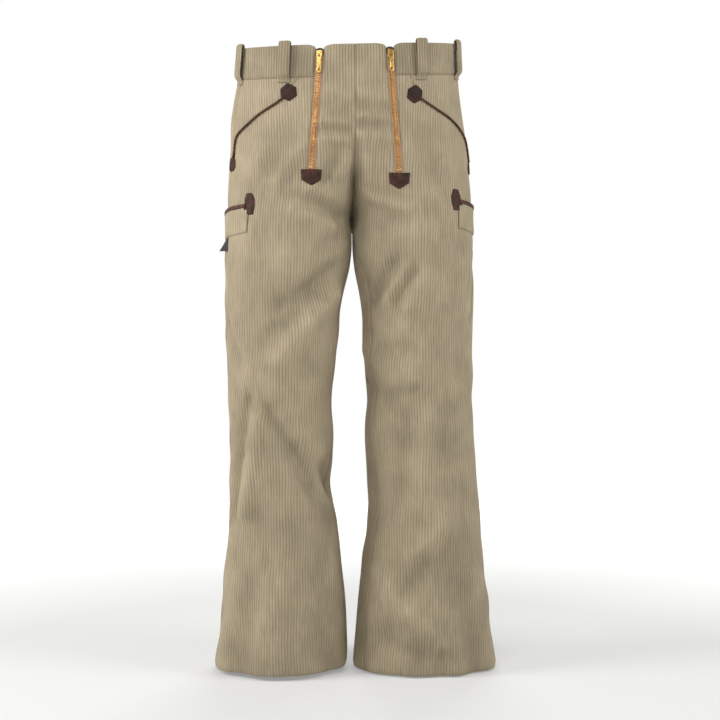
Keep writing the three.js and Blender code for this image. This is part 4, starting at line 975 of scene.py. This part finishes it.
def leatherPatch(name, side, shape, angle, level, turned, node, hideUsed=leather):
    down = np.linspace(shape["down"][0], shape["down"][-1], 33)[:, None]
    low = np.interp(down, shape["down"], shape["from"])
    high = np.interp(down, shape["down"], shape["to"])
    across = low + (high - low) * np.linspace(0, 1, 31)[None]
    down = np.broadcast_to(down, across.shape)
    corners = list(zip(shape["to"], shape["down"])) + list(zip(shape["from"][::-1], shape["down"][::-1]))
    edge = outlineDistance(across, down, corners)
    round_ = np.sqrt(np.clip(1 - (1 - np.clip(edge / patch["edge"], 0, 1)) ** 2, 0, 1))
    top = 0.3 + (patch["wall"] - 0.3) * round_ + patch["dome"] * (1 - np.exp(-edge / 4))
    top = top - patch["groove"] * np.exp(-(((edge - patch["inset"]) / 0.55) ** 2))
    angles, levels = patchPlace(side, angle, level, turned, across, down)
    outer = bodyPoint(side, angles, levels, cloth["seat"] + top)
    inner = bodyPoint(side, angles, levels, np.full(top.shape, cloth["seat"] * 0.3))
    dress(wallPiece(name, outer, inner, sharpRim=False), hideUsed, "leather", "trousers", node)
    # the stitches' line is the outline drawn in towards the middle by the inset
    corners = np.array(corners + corners[:1], float)
    at = np.arange(12 * (len(corners) - 1) + 1) / 12
    line = np.stack([np.interp(at, np.arange(len(corners)), corners[:, k]) for k in range(2)], -1)
    centre = corners[:-1].mean(axis=0)
    reach = np.linalg.norm(line - centre, axis=1, keepdims=True)
    line = centre + (line - centre) * (1 - patch["inset"] * 1.12 / reach)
    angles, levels = patchPlace(side, angle, level, turned, line[:, 0], line[:, 1])
    stitchRow(side, angles, levels, cloth["seat"] + patch["wall"] + 0.05, "dark")


thigh = {"frontAngle": 47.5, "patchAngle": 41, "backAngle": -40, "slope": 0.13, "height": 41, "wall": 2.2,
         "gape": 2.4, "rows": 14, "roll": 1.0, "rollReach": 1.6, "sewnAt": (2.6, 8.4), "sewnSink": 0.45}
binding = {"width": 7, "wall": 3.2, "patchUp": 6}
sidePatchLevel = -208
pipe = {"radius": 1.8, "end": -199, "stitchesOff": 4.2}


def pocketTop(side, angle):
    return side["pocket"] - thigh["slope"] * (thigh["frontAngle"] - angle)


def pocketGape(angle, down):
    across = np.clip((angle - thigh["backAngle"]) / (thigh["frontAngle"] - thigh["backAngle"]), 0, 1)
    return thigh["gape"] * np.sin(np.pi * across) * (1 - down)


def pocketLift(side, angle, level):
    down = np.clip((pocketTop(side, angle) - level) / thigh["height"], 0, 1)
    return pocketGape(angle, down) + 2 * cloth["seat"] + thigh["wall"] - 0.25


for end, side in sides.items():
    leatherPatch("leather_zip_end_" + end, side, patchShapes["zip"],
                 zipAngle(side, side["zipPatch"], 0), side["zipPatch"], 0, "zip_patch_" + end)
    leatherPatch("leather_mouth_top_" + end, side, patchShapes["mouth"], side["patchAngle"], side["patchLevel"],
                 side["patchTurn"], "mouth_patch_" + end, darkLeather)
    leatherPatch("leather_mouth_foot_" + end, side, patchShapes["side"], seamAngle(side, sidePatchLevel),
                 sidePatchLevel, 0, "side_patch_" + end)
    leatherPatch("leather_pocket_corner_" + end, side, patchShapes["binding"], thigh["frontAngle"],
                 side["pocket"] + binding["patchUp"], 0, "binding_patch_" + end)

    # piping: a leather-covered cord laid along the pocket mouth, a little lumpy
    levels = np.linspace(side["pipingTop"] + 8, pipe["end"], 140)
    angles = frontEdge(side, levels)
    centres, run, out = clothPath(side, angles, levels, cloth["seat"] + pipe["radius"] - 0.2)
    lumps = 1 + 0.05 * np.sin(levels * 1.1) * np.sin(levels * 0.37 + 1)
    piece = loftPiece("leather_piping_" + end, centres, np.cross(out, run), out,
                      softOval(14, 2 * pipe["radius"], 2 * pipe["radius"]), lumps)
    dress(piece, pipeLeather, "leather", "trousers", "piping_" + end)
    stitchRow(side, angles + pipe["stitchesOff"] * degreesPerMm(side, angles, levels), levels, 0.25)

    # folded leather binding along the thigh pocket's mouth, which stands a little open
    angles = np.linspace(thigh["patchAngle"] + 3, thigh["backAngle"], 80)
    levels = pocketTop(side, angles) + cloth["seamGap"] + binding["width"] / 2
    gape = pocketGape(angles, 0) + cloth["seat"]
    centres, run, out = clothPath(side, angles, levels, gape + binding["wall"] / 2)
    piece = loftPiece("leather_binding_" + end, centres, np.cross(run, out), out,
                      softOval(28, binding["width"], binding["wall"], (0.55, 0.6)))
    dress(piece, pipeLeather, "leather", "trousers", "binding_" + end)
    stitchRow(side, angles, levels - 1.9, gape + binding["wall"] - 0.05, "dark")

    # thigh pocket: two rows of stitches sunk along its front edge and its foot
    downs = np.linspace(0, thigh["height"], thigh["rows"])[:, None]
    angles = (np.full(thigh["rows"], float(angle)) for angle in (thigh["frontAngle"], thigh["backAngle"], 0))
    grid = panelGrid(side, side["pocket"] - downs[:, 0], *angles)
    across = grid["across"]
    angle = angleOf(grid, across)
    level = pocketTop(side, angle) - downs
    edge = np.minimum(across - grid["low"][:, None], grid["high"][:, None] - across)
    edge = np.minimum(edge, thigh["height"] - downs)
    ribs = waleHeights(grid["ribs"], edge, across, level, 2.5)
    roll = thigh["roll"] * np.exp(-((np.maximum(edge, 0) / thigh["rollReach"]) ** 2))
    for inset in thigh["sewnAt"]:
        roll = roll + thigh["sewnSink"] * np.exp(-(((edge - inset) / 0.7) ** 2))
    lift = pocketLift(side, angle, level)
    face, normal = facePoint(side, angle, level), faceNormal(side, angle, level)
    skip = np.zeros((thigh["rows"] - 1, across.shape[1] - 1), bool)  # the leather patch covers this corner
    skip[0] = angle[0, :-1] > thigh["patchAngle"] + 0.5
    outer = face + normal * (lift + (ribs - 0.5) * wale["height"] - roll)[..., None]
    inner = face + normal * (lift - thigh["wall"] + 0.25)[..., None]
    numbers = numbersBetween(across.shape[1], grid["first"], grid["last"])
    piece = cordWall("thigh_pocket_cloth_" + end, outer, inner, ribs, across, level, numbers, skip)
    dress(piece, corduroy, "corduroy", "trousers", "thigh_pocket_" + end)
    turns = np.linspace(thigh["frontAngle"], thigh["backAngle"], 60)
    for inset in thigh["sewnAt"]:
        rate = degreesPerMm(side, 45.0, side["pocket"] - 25)
        angles = np.full(20, thigh["frontAngle"] - inset * rate)
        levels = pocketTop(side, angles) - np.linspace(14, thigh["height"] - inset, 20)
        stitchRow(side, angles, levels, pocketLift(side, angles, levels) - 0.5)
        angles = turns[turns < thigh["frontAngle"] - inset * rate]
        levels = pocketTop(side, angles) - thigh["height"] + inset
        stitchRow(side, angles, levels, pocketLift(side, angles, levels) - 0.5)
print("leather and pockets made")

# zips: woven tape with a raised bead, two rows of stamped teeth that mesh, and a bottom stop

teeth = {"pitch": 3.0, "width": 5.4, "height": 1.75, "bottom": -2.95, "top": -0.5, "beads": 4.1}
stop = {"up": 4.2, "width": 7.2, "thick": 3, "half": 2.4, "lift": -1.6}
toothShape = np.array([[x, y * s, z] for x, s in ((0, 1), (1, 0.78)) for y, z in
                       ((-0.5, 0), (-0.5, 0.72), (-0.3, 1), (0.3, 1), (0.5, 0.72), (0.5, 0))])
toothShape = toothShape * [teeth["width"], teeth["height"], teeth["top"] - teeth["bottom"]]
sixes = np.arange(6)
toothFaces = np.concatenate([
    np.stack([sixes, (sixes + 1) % 6 + 6, (sixes + 1) % 6], -1), np.stack([sixes, sixes + 6, (sixes + 1) % 6 + 6], -1),
    [[0, 1, 2], [0, 2, 3], [0, 3, 4], [0, 4, 5]], [[6, 8, 7], [6, 9, 8], [6, 10, 9], [6, 11, 10]]])

pullBody = {"level": -18, "length": 16, "post": 3.4}
top = pullBody["level"] + pullBody["length"] / 2 - pullBody["post"] - cloth["seamGap"]


# A strip of tape in the zip's slit: offsets across it, levels down it.
def tapeWall(name, side, offsets, levels, drawnLevels, outerLift, innerLift):
    angle = zipAngle(side, levels, offsets)
    level = np.broadcast_to(drawnLevels, angle.shape)
    outer, inner = (bodyPoint(side, angle, level, np.broadcast_to(lift, angle.shape))
                    for lift in (outerLift, innerLift))
    place = patternPlace(offsets, level)
    return wallPiece(name, outer, inner, [("place", place, place)])


for end, side in sides.items():
    levels = np.linspace(zipPlan["tapeTop"], zipPlan["bottom"] + 2 * cloth["seamGap"], 150)[:, None]
    offsets = np.linspace(-zipPlan["tapeWidth"] / 2, zipPlan["tapeWidth"] / 2, 57)
    bead = 0.8 * np.exp(-(((np.abs(offsets) - teeth["beads"]) / 0.75) ** 2))
    piece = tapeWall("zip_tape_" + end, side, offsets, levels, levels, zipPlan["tapeLift"] + bead,
                     zipPlan["tapeLift"] - zipPlan["tapeWall"])
    dress(piece, tapeCloth, "zip_tape", "trousers", "zip_" + end)

    # a dark strip bowed like a folded tape end above the slider: painted shadow where the flaps meet over the slit
    levels = np.linspace(tapeShadowSheet["top"], tapeShadowSheet["foot"], 12)[:, None]
    offsets = np.linspace(-0.5, 0.5, 21) * (zipPlan["slit"] + tapeShadowSheet["wider"])
    lift = tapeShadowSheet["lift"] + tapeShadowSheet["bulge"] * np.sin(np.linspace(0, np.pi, 12))[:, None]
    piece = tapeWall("zip_tape_shadow_" + end, side, offsets, levels, levels - tapeShadowSheet["bow"] * offsets ** 2, lift,
                     lift - tapeShadowSheet["wall"])
    dress(piece, tapeShadow, "zip_tape", "trousers")

    # teeth stand by turns on the left and the right bead and point at each other
    levels = np.arange(top - 1, zipPlan["bottom"] + 2, -teeth["pitch"] / 2)
    row = np.arange(len(levels)) % 2 * 2 - 1
    offset = row * teeth["beads"]
    angle = zipAngle(side, levels, offset)
    out = faceNormal(side, angle, levels)
    above, below = (facePoint(side, zipAngle(side, levels + step, offset), levels + step) for step in (1, -1))
    up = above - below
    up = unit(up - out * (up * out).sum(-1, keepdims=True))
    across = np.cross(up, out)
    inwards = -np.sign(across[:, :1] * row[:, None]) * side["sign"]
    places = bodyPoint(side, angle, levels, 0 * row + teeth["bottom"])
    piece = scatterPiece("zip_teeth_" + end, toothShape, toothFaces, places, across * inwards, up * inwards, out)
    piece.data.shade_flat()
    dress(piece, copperZinc, "brass", "trousers")

    # bottom stop: a stamped block, rounded at its ends
    level = np.array([side["zipPatch"] + stop["up"]])
    angle = zipAngle(side, level, 0)
    out = faceNormal(side, angle, level)
    up = unit(np.array([[0.0, 0.0, 1.0]]) - out * out[:, 2:])
    spine = np.linspace(-1, 1, 9)
    centres = bodyPoint(side, angle, level, stop["lift"] + 0 * level) + up * (spine * stop["half"])[:, None]
    piece = loftPiece("zip_stop_" + end, centres, np.repeat(np.cross(up, out), 9, 0), np.repeat(out, 9, 0),
                      softOval(24, stop["width"], stop["thick"], (0.5, 0.5)), np.sqrt(1 - (spine * 0.93) ** 4))
    dress(piece, brass, "brass", "trousers")
    for offset in (-zipPlan["slit"] / 2 - fromEdge["zip"], zipPlan["slit"] / 2 + fromEdge["zip"]):
        line = np.linspace(-band["height"] - 2 if offset > 0 else -3, zipPlan["bottom"] + 6, 120)
        stitchRow(side, zipAngle(side, line, offset), line, 0.3)


# Slider and pull tab: the solid itself, its loose triangles merged and its edges broken.
def brokenEdges(node, name, body, width):
    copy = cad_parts[node].copy()
    copy.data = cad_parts[node].data.copy()
    copy.name = name
    copy.data.materials.clear()
    for key in [key for key in copy.keys() if key.startswith("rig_")]:
        del copy[key]
    copy.parent = None
    bpy.context.scene.collection.objects.link(copy)
    mesh = bmesh.new()
    mesh.from_mesh(copy.data)
    bmesh.ops.remove_doubles(mesh, verts=mesh.verts, dist=1e-6)
    bmesh.ops.dissolve_limit(mesh, angle_limit=math.radians(2), verts=mesh.verts, edges=mesh.edges)
    bmesh.ops.recalc_face_normals(mesh, faces=mesh.faces)
    mesh.to_mesh(copy.data)
    mesh.free()
    bevel = copy.modifiers.new("broken edges", "BEVEL")
    bevel.width = width
    bevel.segments = 2
    bevel.limit_method = "ANGLE"
    bevel.angle_limit = math.radians(40)
    bevel.harden_normals = True
    copy.data.shade_smooth()
    dress(copy, brass, "brass", body, node)


for end in sides:
    brokenEdges("slider_" + end, "zip_slider_" + end, "trousers", 0.0003)
    brokenEdges("pull_" + end, "zip_pull_" + end, "pull_tab_" + end, 0.00025)
print("zips made")

# bare tab under the right thigh pocket: a folded strip of woven cloth that curls out at the back

label = {"angle": 13, "width": 18, "height": 22, "wall": 1.2, "out": 10}
right = sides["right"]
level = pocketTop(right, label["angle"]) - thigh["height"] - 4 * cloth["seamGap"]
rate = degreesPerMm(right, label["angle"], level)
down = np.linspace(0, 1, 25)[:, None]
share = np.linspace(0, 1, 21)[None]
out = label["out"] * down ** 1.3 * (1 - share) + cloth["seat"]
across = (share - 0.5) * label["width"] + 0 * down
levels = level - down * label["height"] + 0 * share
edge = np.minimum(np.minimum(share, 1 - share) * label["width"], (1 - down) * label["height"])
thick = label["wall"] * (0.35 + 0.65 * np.sqrt(np.clip(1 - (1 - np.clip(edge / 0.8, 0, 1)) ** 2, 0, 1)))
place = patternPlace(across, levels)
angle = label["angle"] + across * rate
piece = wallPiece("bare_tab", bodyPoint(right, angle, levels, out + thick), bodyPoint(right, angle, levels, out),
                  [("place", place, place)], sharpRim=False)
dress(piece, tabCloth, "tab_cloth", "trousers", "tab")

# rows of stitches on the cloth, then one mesh a thread

for end, side in sides.items():
    seam, inseam = seamAngle(side, side["hem"]), 180 - side["inseam"]
    for low, high in ((seam, inseam), (inseam - 360, seam)):
        stitchRow(side, np.linspace(low + 1, high - 1, 160), side["hem"] + fromEdge["hem"], 0.35)
    seam = seamAngle(side, -50)
    for turns in (np.linspace(seam + 1, zipAngle(side, -50, zipPlan["slit"] / 2 + 2), 60),
                  np.linspace(seam - 1, -89.5, 90)):
        stitchRow(side, turns, -band["height"] + fromEdge["band"], 1.3)
    levels = np.linspace(-62, -286, 120)
    rate = degreesPerMm(side, -ovalAt(side, levels)["end"] + 1, levels)
    stitchRow(side, -innerEdge(side, levels) + fromEdge["middleSeam"] * rate, levels, 0.3)
levels = np.linspace(-6, -280, 130)
rate = degreesPerMm(right, innerEdge(right, levels) - 1, levels)
stitchRow(right, innerEdge(right, levels) - fromEdge["middleSeam"] * rate, levels, 0.3)
for thread, material in (("seam", seamThread), ("dark", darkThread)):
    places, run, across, out = (np.concatenate([row[i] for row in stitches[thread]]) for i in range(4))
    piece = scatterPiece("stitches_" + thread, stitchShape, stitchFaces, places, run, across, out)
    dress(piece, material, "corduroy" if thread == "seam" else "leather", "trousers")
    print("stitches", thread, len(places))

# floor and light

stage = {"radius": 2.7, "drop": 0.003, "colour": "#b9b9b7", "glow": 0.27, "rimGlow": 0.95, "glowFrom": 0.7}
ring = np.linspace(0, 2 * np.pi, 96, endpoint=False)
lowest = (cadBox[0][2] - stage["drop"]) * 1000
rimPoints = np.stack([np.cos(ring), np.sin(ring), np.zeros(96)], -1) * stage["radius"] * 1000
steps = np.arange(96)
floor = meshPiece("floor", np.concatenate([rimPoints, np.zeros((1, 3))]) + [0, 0, lowest],
                  np.stack([steps, np.roll(steps, -1), np.full(96, 96)], -1))
paper, tree, shader = newMaterial("mattePaper", {"Emission Color": (1, 1, 1, 1), "Roughness": 0.95,
                                                 "Base Color": hexColour(stage["colour"])})
# the paper glows more towards its rim, so that it runs into the white walls without an edge
spot = addNode(tree, "ShaderNodeMapping", {"Vector": addNode(tree, "ShaderNodeTexCoord").outputs["Object"],
                                           "Scale": (1, 1, 0)})
reach = addNode(tree, "ShaderNodeVectorMath", {0: spot.outputs[0]}, operation="LENGTH")
glow = addNode(tree, "ShaderNodeMapRange", {"Value": reach.outputs["Value"], "From Min": stage["glowFrom"],
                                            "From Max": stage["radius"], "To Min": stage["glow"],
                                            "To Max": stage["rimGlow"]})
tree.links.new(glow.outputs[0], shader.inputs["Emission Strength"])
floor.data.materials.append(paper)

studio = {"wall": 1.0, "ceiling": 0.14, "band": 0.28,
          "left": {"place": (-2.5, -0.6, 0.55), "size": 1.2, "watts": 60},
          "front": {"place": (-0.7, -1.8, 0.85), "size": 1.0, "watts": 19},
          "right": {"place": (2.2, -1.1, 0.7), "size": 1.2, "watts": 36},
          "rear": {"place": (0.6, 2.6, 1.0), "size": 1.8, "watts": 50}}

# white walls all round up to a height, a dimmer ceiling above: light by the direction's height
world = bpy.data.worlds.new("studio")
bpy.context.scene.world = world
world.use_nodes = True
tree = world.node_tree
heading = addNode(tree, "ShaderNodeSeparateXYZ", {0: addNode(tree, "ShaderNodeTexCoord").outputs["Generated"]})
rise = addNode(tree, "ShaderNodeMapRange", {"Value": heading.outputs[2], "From Min": studio["band"],
                                            "From Max": studio["band"] + 0.1, "To Min": studio["wall"],
                                            "To Max": studio["ceiling"]})
tree.links.new(rise.outputs[0], tree.nodes["Background"].inputs["Strength"])
tree.nodes["Background"].inputs["Color"].default_value = (1, 1, 1, 1)
for key in ("left", "front", "right", "rear"):
    lamp = bpy.data.lights.new(key, "AREA")
    lamp.size = studio[key]["size"]
    lamp.energy = studio[key]["watts"]
    lampObject = bpy.data.objects.new(key, lamp)
    lampObject.location = studio[key]["place"]
    aim = np.array([0, 0, -0.55]) - np.array(studio[key]["place"])
    lampObject.rotation_euler = (math.acos(-aim[2] / np.linalg.norm(aim)), 0, math.atan2(-aim[0], aim[1]))
    bpy.context.scene.collection.objects.link(lampObject)
bpy.context.scene.view_settings.view_transform = "Standard"
